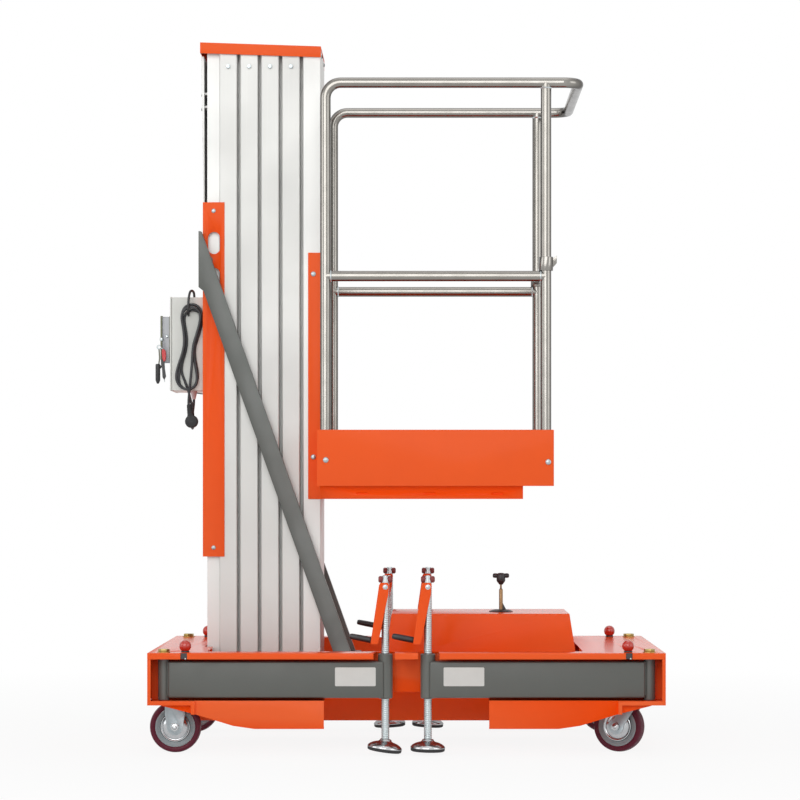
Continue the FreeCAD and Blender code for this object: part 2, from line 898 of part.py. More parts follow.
def platform_floor():
    """Floor sheet with a raised tread between the posts, on two side channels and three cross channels."""
    inner_y = platform_half_width - floor_sheet
    floor_top = floor_height + floor_sheet
    floor = block(bracket_face, platform_right - floor_sheet, -inner_y, inner_y, floor_height, floor_top)
    tread_edge = tube_radius + tread_margin
    tread_half = rail_y - tread_edge
    tread = block(
        left_post_x + tread_edge, right_post_x - tread_edge, -tread_half, tread_half,
        floor_top, floor_top + tread_height,
    )
    bottom = floor_height - beam_height
    web = block(bracket_face, beam_right, -beam_y, -beam_y + floor_sheet, bottom, floor_height)
    lower = block(bracket_face, beam_right, -beam_y, -beam_y + beam_flange, bottom, bottom + floor_sheet)
    pieces = [tread, web, lower, mirror_y(web), mirror_y(lower)]
    reach = beam_y - floor_sheet
    for x in cross_beam_x:
        pieces.append(block(x, x + cross_beam_width, -reach, reach, bottom + floor_sheet, floor_height))
    slot_inset = (cross_beam_width - beam_slot_length) / 2
    slot_bottom = bottom + beam_slot_rise
    slots = [
        block(
            x + slot_inset, x + slot_inset + beam_slot_length, -beam_y - 1, -reach,
            slot_bottom, slot_bottom + beam_slot_height,
        )
        for x in cross_beam_x
    ]
    slots += [mirror_y(slot) for slot in slots]
    return fuse(floor, *pieces).cut(Part.Compound(slots))


def toe_boards():
    """Upright sheets round the floor, open on the mast side where the bracket stands."""
    outer = platform_half_width
    inner = outer - floor_sheet
    left = mast_right - floor_sheet
    top = floor_height + toe_height
    near = block(left, platform_right, -outer, -inner, floor_height, top)
    end = block(platform_right - floor_sheet, platform_right, -inner, inner, floor_height, top)
    gap = mast_half + bracket_sheet + running_gap
    back = block(left, mast_right, -inner, -gap, floor_height, top)
    return fuse(near, mirror_y(near), end, back, mirror_y(back))


def side_rail():
    """Near guard frame: left post bent into the top rail, right post and mid rail."""
    foot = floor_height + floor_sheet
    start = (left_post_x, -rail_y, foot)
    corner = (left_post_x, -rail_y, top_rail)
    end = (rail_end_x - rail_bend, -rail_y, top_rail)
    bow = bent_tube((start, corner, end), tube_radius, [rail_bend])
    post = rod(tube_radius, (right_post_x, -rail_y, foot), (right_post_x, -rail_y, top_rail))
    middle = rod(tube_radius, (left_post_x, -rail_y, mid_rail), (right_post_x, -rail_y, mid_rail))
    return fuse(bow, post, middle)


def end_rail():
    points = (
        (rail_end_x - rail_bend, -rail_y, top_rail),
        (rail_end_x, -rail_y, top_rail),
        (rail_end_x, rail_y, top_rail),
        (rail_end_x - rail_bend, rail_y, top_rail),
    )
    stops = [vec(*p) for p in points]
    bow = []
    for side in (-1, 1):
        centre = vec(rail_end_x - rail_bend, side * (rail_y - rail_bend), top_rail)
        middle = centre + vec(math.cos(math.pi / 4), side * math.sin(math.pi / 4), 0) * rail_bend
        start = vec(rail_end_x - rail_bend, side * rail_y, top_rail)
        end = vec(rail_end_x, side * (rail_y - rail_bend), top_rail)
        bow.append((start, middle, end))
    edges = [
        Part.Arc(*bow[0]).toShape(),
        Part.LineSegment(bow[0][2], bow[1][2]).toShape(),
        Part.Arc(bow[1][2], bow[1][1], bow[1][0]).toShape(),
    ]
    section = Part.Wire(Part.makeCircle(tube_radius, stops[0], vec(1, 0, 0)))
    return Part.Wire(edges).makePipeShell([section], True, True)


def gate_bar():
    """Bar across the entry on two collars that slide up the right posts."""
    seat = mid_rail + tube_radius + seat_gap
    top = seat + collar_height
    bore = tube_radius + collar_gap
    collars = []
    tabs = []
    for side in (-1, 1):
        y = side * rail_y
        collars.append(rod(bore + collar_wall, (right_post_x, y, seat), (right_post_x, y, top)))
        tabs.append(
            prism_xz(
                [
                    (right_post_x + bore, seat + gate_tab_lift),
                    (right_post_x + bore + gate_tab_length, seat + gate_tab_height),
                    (right_post_x + bore + gate_tab_length, top + gate_tab_lift),
                    (right_post_x + bore, top - gate_tab_fall),
                ],
                y - gate_tab / 2,
                y + gate_tab / 2,
            )
        )
    bar_z = (seat + top) / 2
    bar = rod(gate_tube_radius, (right_post_x, -rail_y, bar_z), (right_post_x, rail_y, bar_z))
    bores = [
        rod(bore, (right_post_x, side * rail_y, seat - 1), (right_post_x, side * rail_y, top + 1))
        for side in (-1, 1)
    ]
    return fuse(bar, *collars, *tabs).cut(Part.Compound(bores))


# Outrigger arms and jacks


def arm():
    """Near left arm: pivot tube, hollow bar and the threaded sleeve that holds the jack."""
    x0 = -arm_pivot_x + arm_root_gap
    x1 = -jack_x + sleeve_radius
    y0 = -arm_y - arm_width / 2
    y1 = -arm_y + arm_width / 2
    bar = block(x0, x1, y0, y1, arm_bottom, arm_top)
    hollow = block(
        x0 + arm_wall, x1 - arm_wall, y0 + arm_wall, y1 - arm_wall,
        arm_bottom + arm_wall, arm_top - arm_wall,
    )
    bar = bar.cut(hollow)
    pivot_low = shelf_top + seat_gap
    pivot_high = deck_top - sheet - seat_gap
    pivot = rod(pivot_tube_radius, (-arm_pivot_x, -arm_y, pivot_low), (-arm_pivot_x, -arm_y, pivot_high))
    neck = block(
        -arm_pivot_x, x0 + arm_wall, -arm_y - arm_neck_half, -arm_y + arm_neck_half, arm_bottom, arm_top
    )
    sleeve = rod(sleeve_radius, (-jack_x, -arm_y, sleeve_bottom), (-jack_x, -arm_y, sleeve_top))
    bores = [
        rod(pivot_bolt_radius + pin_clearance, (-arm_pivot_x, -arm_y, 0), (-arm_pivot_x, -arm_y, deck_top)),
        rod(screw_radius + seat_gap, (-jack_x, -arm_y, 0), (-jack_x, -arm_y, deck_top)),
    ]
    return fuse(bar, pivot, neck, sleeve).cut(Part.Compound(bores))


def jack_screw():
    """Near left jack screw with its cross head and domed foot."""
    foot_top = foot_floor_gap + foot_height
    profile = [
        (0, foot_floor_gap),
        (foot_radius - foot_edge, foot_floor_gap),
        (foot_radius, foot_floor_gap + foot_edge),
        (foot_radius, foot_floor_gap + foot_rim),
        *[(foot_radius * share, foot_floor_gap + foot_rim + rise) for share, rise in foot_dome],
        (foot_neck_radius + foot_flare, foot_top - foot_neck_height),
        (foot_neck_radius, foot_top),
        (0, foot_top),
    ]
    ring = [vec(-jack_x + r, -arm_y, z) for r, z in profile]
    foot = Part.Face(Part.makePolygon(ring + ring[:1])).revolve(vec(-jack_x, -arm_y, 0), vec(0, 0, 1), 360)
    head_z = screw_top - head_radius
    screw = rod(screw_radius, (-jack_x, -arm_y, foot_top - foot_edge), (-jack_x, -arm_y, head_z))
    half_head = head_length / 2
    head = rod(head_radius, (-jack_x - half_head, -arm_y, head_z), (-jack_x + half_head, -arm_y, head_z))
    hole = rod(
        crank_bolt_radius,
        (-jack_x, -arm_y - screw_radius - 1, crank_bolt_height),
        (-jack_x, -arm_y + screw_radius + 1, crank_bolt_height),
    )
    return fuse(foot, screw, head).cut(hole)


def jack_crank():
    """Near left folding crank: a channel that straddles the screw, its hinge bolt and its grip."""
    top = crank_bolt_height + crank_above_bolt
    low = crank_bolt_height - crank_drop
    hang = -jack_x - crank_lean
    outline = [
        (-jack_x - crank_width * crank_behind, top),
        (-jack_x + crank_width * (1 - crank_behind), top),
        (hang + crank_tip_width / 2, low),
        (hang - crank_tip_width / 2, low),
    ]
    half = crank_inside / 2
    cheek = prism_xz(outline, -arm_y - half - crank_sheet, -arm_y - half)
    other = prism_xz(outline, -arm_y + half, -arm_y + half + crank_sheet)
    spine = prism_xz(
        [outline[0], (outline[0][0] + crank_sheet, top), (outline[3][0] + crank_sheet, low), outline[3]],
        -arm_y - half,
        -arm_y + half,
    )
    reach = half + crank_sheet + crank_bolt_reach
    bolt = rod(
        crank_bolt_radius,
        (-jack_x, -arm_y - reach, crank_bolt_height),
        (-jack_x, -arm_y + reach, crank_bolt_height),
    )
    grip = rod(grip_radius, (hang - grip_length, -arm_y, grip_height), (hang, -arm_y, grip_height))
    return fuse(cheek, other, spine, bolt, grip)


# Casters


def fork_legs(axle_x, top_z, neck_half, neck_z):
    """Two leg plates round an axle, at the wheel plane y = 0, with the axle through them."""
    inner = wheel_width / 2 + wheel_side_gap
    legs = []
    plate = [
        (-neck_half, top_z),
        (neck_half, top_z),
        (neck_half, neck_z),
        (axle_x + fork_end_radius, wheel_radius),
        (axle_x - fork_end_radius, wheel_radius),
        (-neck_half, neck_z),
    ]
    for side in (-1, 1):
        y0 = inner if side > 0 else -inner - fork_leg
        legs.append(prism_xz(plate, y0, y0 + fork_leg))
        legs.append(rod(fork_end_radius, (axle_x, y0, wheel_radius), (axle_x, y0 + fork_leg, wheel_radius)))
    head = inner + fork_leg
    reach = head + axle_head_height
    axle = rod(axle_radius, (axle_x, -reach, wheel_radius), (axle_x, reach, wheel_radius))
    head_radius = axle_radius + axle_head_width
    heads = [
        rod(head_radius, (axle_x, side * head, wheel_radius), (axle_x, side * reach, wheel_radius))
        for side in (-1, 1)
    ]
    return legs + [axle] + heads


def caster_top(x):
    top = cross_plate_top - cross_plate
    half_x = caster_plate_length / 2
    half_y = caster_plate_width / 2
    return block(x - half_x, x + half_x, -half_y, half_y, top - caster_plate, top)


def rigid_fork():
    """Near left fixed caster frame, built at the origin and moved to its place."""
    top = cross_plate_top - cross_plate - caster_plate
    legs = fork_legs(0, top, fork_top_half, wheel_radius + fork_neck_rise)
    fork = fuse(caster_top(0), *legs)
    return fork.translated(vec(-fixed_caster_x, -caster_y, 0))


def swivel_mount():
    """Near right caster plate with its upper race and king bolt."""
    top = cross_plate_top - cross_plate - caster_plate
    race = rod(race_radius, (0, 0, top - race_height), (0, 0, top))
    nut_top = top - race_height - crown_height - 2 * seat_gap
    bolt = rod(king_bolt_radius, (0, 0, nut_top), (0, 0, top))
    nut = rod(king_nut_radius, (0, 0, nut_top - king_nut_height), (0, 0, nut_top))
    mount = fuse(caster_top(0), race, bolt, nut)
    return mount.translated(vec(swivel_x, -caster_y, 0))


def swivel_fork(side, heading):
    """Turning fork with its crown; the wheel trails in the direction of the heading."""
    crown_top = cross_plate_top - cross_plate - caster_plate - race_height - seat_gap
    crown_bottom = crown_top - crown_height
    crown = rod(race_radius, (0, 0, crown_bottom), (0, 0, crown_top))
    neck_half = race_radius * crown_neck_share
    neck_z = crown_bottom - crown_neck_drop
    legs = fork_legs(swivel_trail, crown_bottom + crown_height / 2, neck_half, neck_z)
    bore = rod(king_bolt_radius + pin_clearance, (0, 0, 0), (0, 0, deck_top))
    fork = fuse(crown, *legs).cut(bore)
    fork.rotate(vec(0, 0, 0), vec(0, 0, 1), heading)
    return fork.translated(vec(swivel_x, side * caster_y, 0))


def tyre():
    half = wheel_width / 2
    shoulders = [(wheel_radius - fall, half - inset) for fall, inset in tyre_shoulders]
    profile = [
        (hub_radius + seat_gap, -half + tyre_side_taper),
        *[(r, -y) for r, y in shoulders],
        *reversed(shoulders),
        (hub_radius + seat_gap, half - tyre_side_taper),
    ]
    return wheel_turned(profile)


def hub():
    """Wheel centre with a rim, a thinner web and a bored boss."""
    rim = hub_width / 2
    web = rim - hub_web_depth
    boss = wheel_width / 2 + wheel_side_gap - seat_gap
    bore = axle_radius + pin_clearance
    half_profile = [
        (bore, boss),
        (boss_radius, boss),
        (boss_foot, web),
        (hub_radius - hub_rim_inside, web),
        (hub_radius - hub_rim_edge, rim),
        (hub_radius, rim),
    ]
    profile = [(r, -y) for r, y in half_profile] + half_profile[::-1]
    return wheel_turned(profile)


def wheel_turned(profile):
    """Turns a (radius, y) profile about the wheel's axle at the origin."""
    ring = [vec(r, y, wheel_radius) for r, y in profile]
    face = Part.Face(Part.makePolygon(ring + ring[:1]))
    return face.revolve(vec(0, 0, wheel_radius), vec(0, 1, 0), 360)


def place_swivelled(shape, side, heading):
    placed = shape.translated(vec(swivel_trail, 0, 0))
    placed.rotate(vec(0, 0, 0), vec(0, 0, 1), heading)
    return placed.translated(vec(swivel_x, side * caster_y, 0))


def main():
    os.makedirs("parts", exist_ok=True)
    save("base_deck", base_deck())
    ends = end_frame()
    save("end_frames", Part.Compound([ends, mirror_x(ends)]))
    save("trough", trough())
    save("side_webs", both_sides(side_web()))
    four = {
        "skirts": skirt(),
        "pivot_bolts": pivot_bolt(),
        "lock_pins": lock_pin(),
    }
    for name, shape in four.items():
        left = both_sides(shape)
        save(name, Part.Compound(left.Solids + mirror_x(left).Solids))
    save("power_unit", power_unit())
    save("deck_covers", covers())
    save("cover_knob", cover_knob())

    for number in range(1, section_count + 1):
        save(f"mast_section_{number}", mast_section(number))
    save("mast_cap", mast_cap())
    save("back_channel", back_channel())
    save("back_guard", back_guard())
    save("struts", both_sides(strut()))

    save("control_box", control_box())
    save("switch_cover", switch_cover())
    hank = cord_hank()
    save("cord_hank", hank)
    save("cord_lead", cord_lead(hank))
    plug_shape = plug()
    save("cord_tail", cord_tail(hank, plug_shape))
    save("cord_plug", plug_shape)

    save("platform_bracket", platform_bracket())
    save("platform_floor", platform_floor())
    save("toe_boards", toe_boards())
    rail = side_rail()
    save("rail_near", rail)
    save("rail_far", mirror_y(rail))
    save("rail_end", end_rail())
    save("gate_bar", gate_bar())

    arm_shape = arm()
    screw = jack_screw()
    crank = jack_crank()
    for place, (x_side, y_side) in corners.items():
        shape = arm_shape if x_side < 0 else mirror_x(arm_shape)
        screw_here = screw if x_side < 0 else mirror_x(screw)
        crank_here = crank if x_side < 0 else crank.translated(vec(2 * jack_x, 0, 0))
        if y_side > 0:
            shape = mirror_y(shape)
            screw_here = mirror_y(screw_here)
            crank_here = mirror_y(crank_here)
        save(f"arm_{place}", shape)
        save(f"jack_screw_{place}", screw_here)
        save(f"jack_crank_{place}", crank_here)

    save("rigid_forks", both_sides(rigid_fork()))
    save("swivel_mounts", both_sides(swivel_mount()))
    tyre_shape = tyre()
    hub_shape = hub()
    for place, (y_side, heading) in swivels.items():
        save(f"swivel_fork_{place}", swivel_fork(y_side, heading))
        left = vec(-fixed_caster_x, y_side * caster_y, 0)
        save(f"tyre_{place}_left", tyre_shape.translated(left))
        save(f"hub_{place}_left", hub_shape.translated(left))
        save(f"tyre_{place}_right", place_swivelled(tyre_shape, y_side, heading))
        save(f"hub_{place}_right", place_swivelled(hub_shape, y_side, heading))


main()
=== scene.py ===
import bmesh
import bpy
import math
from mathutils import Matrix, Vector


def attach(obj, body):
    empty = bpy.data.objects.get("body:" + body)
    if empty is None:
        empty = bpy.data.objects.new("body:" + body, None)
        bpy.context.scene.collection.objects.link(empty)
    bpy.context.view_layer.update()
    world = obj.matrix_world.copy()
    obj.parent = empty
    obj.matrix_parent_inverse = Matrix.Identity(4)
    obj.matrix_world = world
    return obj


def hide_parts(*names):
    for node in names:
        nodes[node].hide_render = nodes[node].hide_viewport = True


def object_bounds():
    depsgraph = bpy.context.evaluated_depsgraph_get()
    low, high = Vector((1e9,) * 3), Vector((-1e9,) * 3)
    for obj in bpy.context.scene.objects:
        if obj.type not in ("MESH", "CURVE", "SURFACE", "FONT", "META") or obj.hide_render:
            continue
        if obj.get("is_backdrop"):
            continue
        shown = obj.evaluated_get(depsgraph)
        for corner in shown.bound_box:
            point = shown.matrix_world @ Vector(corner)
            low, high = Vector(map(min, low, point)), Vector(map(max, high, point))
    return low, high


# Vertical mast lift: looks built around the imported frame. Metres, near side at -Y.
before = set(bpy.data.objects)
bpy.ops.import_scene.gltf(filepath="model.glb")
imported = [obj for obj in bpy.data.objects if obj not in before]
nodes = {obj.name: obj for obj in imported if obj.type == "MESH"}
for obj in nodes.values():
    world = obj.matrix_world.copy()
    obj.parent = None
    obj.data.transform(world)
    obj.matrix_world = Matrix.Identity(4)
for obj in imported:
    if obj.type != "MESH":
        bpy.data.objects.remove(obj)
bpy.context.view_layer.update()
scene = bpy.context.scene
scene.view_settings.view_transform = "Standard"
finishes = {}
# corner of the machine: its side along X and along Y
corners = {"near_left": (-1, -1), "near_right": (1, -1), "far_left": (-1, 1), "far_right": (1, 1)}
bothSides = (-1, 1)

# Helpers

def addNode(tree, kind, inputs=None, **settings):
    node = tree.nodes.new(kind)
    for key, value in settings.items():
        setattr(node, key, value)
    for key, value in (inputs or {}).items():
        if isinstance(value, bpy.types.NodeSocket):
            tree.links.new(value, node.inputs[key])
        else:
            node.inputs[key].default_value = value
    return node


def linear(hexText):
    steps = [int(hexText[k:k + 2], 16) / 255 for k in (0, 2, 4)]
    return [s / 12.92 if s <= 0.04045 else ((s + 0.055) / 1.055) ** 2.4 for s in steps] + [1.0]


def joinInto(bm, part, place=None):
    if place is not None:
        part.transform(place)
    spare = bpy.data.meshes.new("spare")
    part.to_mesh(spare)
    part.free()
    bm.from_mesh(spare)
    bpy.data.meshes.remove(spare)


def placed(spot, degrees=0, axis="Z"):
    return Matrix.Translation(spot) @ Matrix.Rotation(math.radians(degrees), 4, axis)


def facing(start, end):
    start, end = Vector(start), Vector(end)
    turn = (end - start).to_track_quat("Z", "Y").to_matrix().to_4x4()
    return placed(start) @ turn, (end - start).length


def addRod(bm, start, end, radius, endRadius=None, segments=32):
    place, length = facing(start, end)
    bmesh.ops.create_cone(
        bm, cap_ends=True, segments=segments, radius1=radius,
        radius2=radius if endRadius is None else endRadius, depth=length,
        matrix=place @ placed((0, 0, length / 2)),
    )


def addBox(bm, corner, opposite):
    low = Vector([min(pair) for pair in zip(corner, opposite)])
    high = Vector([max(pair) for pair in zip(corner, opposite)])
    size = Matrix.Diagonal((*(high - low), 1))
    bmesh.ops.create_cube(bm, size=1.0, matrix=placed((low + high) / 2) @ size)


def addPlate(bm, outline, depth):
    face = bm.faces.new([bm.verts.new(p) for p in outline])
    made = bmesh.ops.extrude_face_region(bm, geom=[face], use_keep_orig=True)
    moved = [v for v in made["geom"] if isinstance(v, bmesh.types.BMVert)]
    bmesh.ops.translate(bm, verts=moved, vec=depth)


def addTurned(bm, profile, steps, place=None, closed=False):
    part = bmesh.new()
    ring = [part.verts.new((r, 0, z)) for r, z in profile]
    lines = [part.edges.new(pair) for pair in zip(ring, ring[1:])]
    if closed:
        lines.append(part.edges.new((ring[-1], ring[0])))
    bmesh.ops.spin(
        part, geom=ring + lines, cent=(0, 0, 0), axis=(0, 0, 1), angle=2 * math.pi,
        steps=steps, use_merge=True,
    )
    bmesh.ops.remove_doubles(part, verts=part.verts, dist=1e-6)
    joinInto(bm, part, place)


def roundEdges(part, edges, radius, segments=4, clamp=False):
    bmesh.ops.bevel(
        part, geom=list(edges), offset=radius, segments=segments, profile=0.5, affect="EDGES", material=-1,
        clamp_overlap=clamp,
    )


def fromFrame(node):
    bm = bmesh.new()
    bm.from_mesh(nodes[node].data)
    bmesh.ops.remove_doubles(bm, verts=bm.verts, dist=1e-5)
    bmesh.ops.dissolve_limit(bm, angle_limit=math.radians(0.6), verts=bm.verts, edges=bm.edges)
    return bm


def finishPiece(name, bm, body, slot, finish, bevel=0.0, segments=2, replaces=(), smooth=38):
    bmesh.ops.recalc_face_normals(bm, faces=bm.faces)
    mesh = bpy.data.meshes.new(name)
    bm.to_mesh(mesh)
    bm.free()
    piece = bpy.data.objects.new(name, mesh)
    scene.collection.objects.link(piece)
    mesh.materials.append(finishes[finish])
    mesh.shade_smooth()
    if bevel:
        edge = piece.modifiers.new("edge", "BEVEL")
        edge.width = bevel
        edge.segments = segments
        edge.limit_method = "ANGLE"
        edge.angle_limit = math.radians(smooth)
        edge.harden_normals = True
    else:
        mesh.set_sharp_from_angle(angle=math.radians(smooth))
    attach(piece, body)
    if replaces:
        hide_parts(*replaces)
    return piece


def turnedPiece(name, profile, steps, place, body, slot, finish, closed=False, **more):
    bm = bmesh.new()
    addTurned(bm, profile, steps, place, closed)
    return finishPiece(name, bm, body, slot, finish, **more)


def keepNode(node, finish):
    nodes[node].data.materials.clear()
    nodes[node].data.materials.append(finishes[finish])


def hexHead(bm, place, across, height, washer=0.0):
    head = bmesh.new()
    bmesh.ops.create_cone(
        head, cap_ends=True, segments=6, radius1=across / math.sqrt(3),
        radius2=across / math.sqrt(3), depth=height, matrix=placed((0, 0, height / 2)),
    )
    roundEdges(head, head.edges, height * 0.12, segments=2, clamp=True)
    if washer:
        bmesh.ops.create_cone(
            head, cap_ends=True, segments=28, radius1=washer, radius2=washer, depth=0.0016,
            matrix=placed((0, 0, 0.0004)),
        )
    joinInto(bm, head, place)


def domeHead(bm, place, radius, height):
    profile = [(radius, 0), (radius, height * 0.35), (radius * 0.8, height * 0.8), (radius * 0.4, height)]
    addTurned(bm, profile + [(0, height)], 20, place)


print("helpers ready")

# Camera, floor and light

photoView = {"place": (0.0579, -7.7, 0.695), "lens": 127.3, "shift": (-0.03625, 0.1075)}
cameraData = bpy.data.cameras.new("photoCamera")
cameraData.lens = photoView["lens"]
cameraData.sensor_width = 36.0
cameraData.shift_x, cameraData.shift_y = photoView["shift"]
camera = bpy.data.objects.new("photoCamera", cameraData)
camera.location = photoView["place"]
camera.rotation_euler = (math.radians(90), 0, 0)
scene.collection.objects.link(camera)
scene.camera = camera

studio = {
    "floor": "F4F4F3", "floorSize": 400.0, "glow": 0.90, "fade": (0.9, 3.2),
    "sky": "FFFFFF", "skyLight": 0.24,
    "lamps": {
        "front": {"at": (-1.2, -6.0, 3.0), "aim": (0, 0, 0.8), "size": 4.5, "power": 168},
        "right": {"at": (5.5, -3.5, 2.6), "aim": (0, 0, 0.9), "size": 3.5, "power": 52},
        "left": {"at": (-5.5, -2.0, 2.4), "aim": (0, 0, 0.9), "size": 3.0, "power": 46},
        "top": {"at": (0.3, 0.8, 5.2), "aim": (0, 0, 0), "size": 4.0, "power": 66},
    },
}


def seenOrMirrored(tree):
    rays = addNode(tree, "ShaderNodeLightPath").outputs
    eye, mirror = rays["Is Camera Ray"], rays["Is Glossy Ray"]
    return addNode(tree, "ShaderNodeMath", {0: eye, 1: mirror}, operation="MAXIMUM").outputs[0]


floorMaterial = bpy.data.materials.new("paleFloor")
floorMaterial.use_nodes = True
tree = floorMaterial.node_tree
tree.nodes.clear()
seen = seenOrMirrored(tree)
spot = addNode(tree, "ShaderNodeNewGeometry").outputs["Position"]
away = addNode(tree, "ShaderNodeVectorMath", {0: spot}, operation="LENGTH").outputs["Value"]
# Near the machine the floor shows its soft shadow, and further out it fades to plain white
white = addNode(
    tree, "ShaderNodeMapRange",
    {"Value": away, "From Min": studio["fade"][0], "From Max": studio["fade"][1], "To Min": studio["glow"]},
)
share = addNode(tree, "ShaderNodeMath", {0: seen, 1: white.outputs[0]}, operation="MULTIPLY")
plain = addNode(tree, "ShaderNodeBsdfDiffuse", {"Color": linear(studio["floor"])})
lit = addNode(tree, "ShaderNodeEmission", {"Color": (1, 1, 1, 1), "Strength": 1.0})
both = addNode(tree, "ShaderNodeMixShader", {0: share.outputs[0], 1: plain.outputs[0], 2: lit.outputs[0]})
addNode(tree, "ShaderNodeOutputMaterial", {"Surface": both.outputs[0]})
floorMesh = bmesh.new()
bmesh.ops.create_grid(floorMesh, x_segments=1, y_segments=1, size=studio["floorSize"])
floorData = bpy.data.meshes.new("floor")
floorMesh.to_mesh(floorData)
floorMesh.free()
floorData.materials.append(floorMaterial)
floor = bpy.data.objects.new("floor", floorData)
scene.collection.objects.link(floor)
floor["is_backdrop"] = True

world = bpy.data.worlds.new("studio")
scene.world = world
world.use_nodes = True
tree = world.node_tree
tree.nodes.clear()
seen = seenOrMirrored(tree)
strength = addNode(
    tree, "ShaderNodeMapRange", {"Value": seen, "To Min": studio["skyLight"], "To Max": 1.0},
)
sky = addNode(
    tree, "ShaderNodeBackground", {"Color": linear(studio["sky"]), "Strength": strength.outputs[0]},
)
addNode(tree, "ShaderNodeOutputWorld", {"Surface": sky.outputs[0]})
for name, lamp in studio["lamps"].items():
    light = bpy.data.lights.new(name, "AREA")
    light.energy = lamp["power"]
    light.size = lamp["size"]
    holder = bpy.data.objects.new(name, light)
    holder.location = lamp["at"]
    holder.rotation_euler = (Vector(lamp["aim"]) - Vector(lamp["at"])).to_track_quat("-Z", "Y").to_euler()
    scene.collection.objects.link(holder)
print("camera, floor and light ready")

# Materials

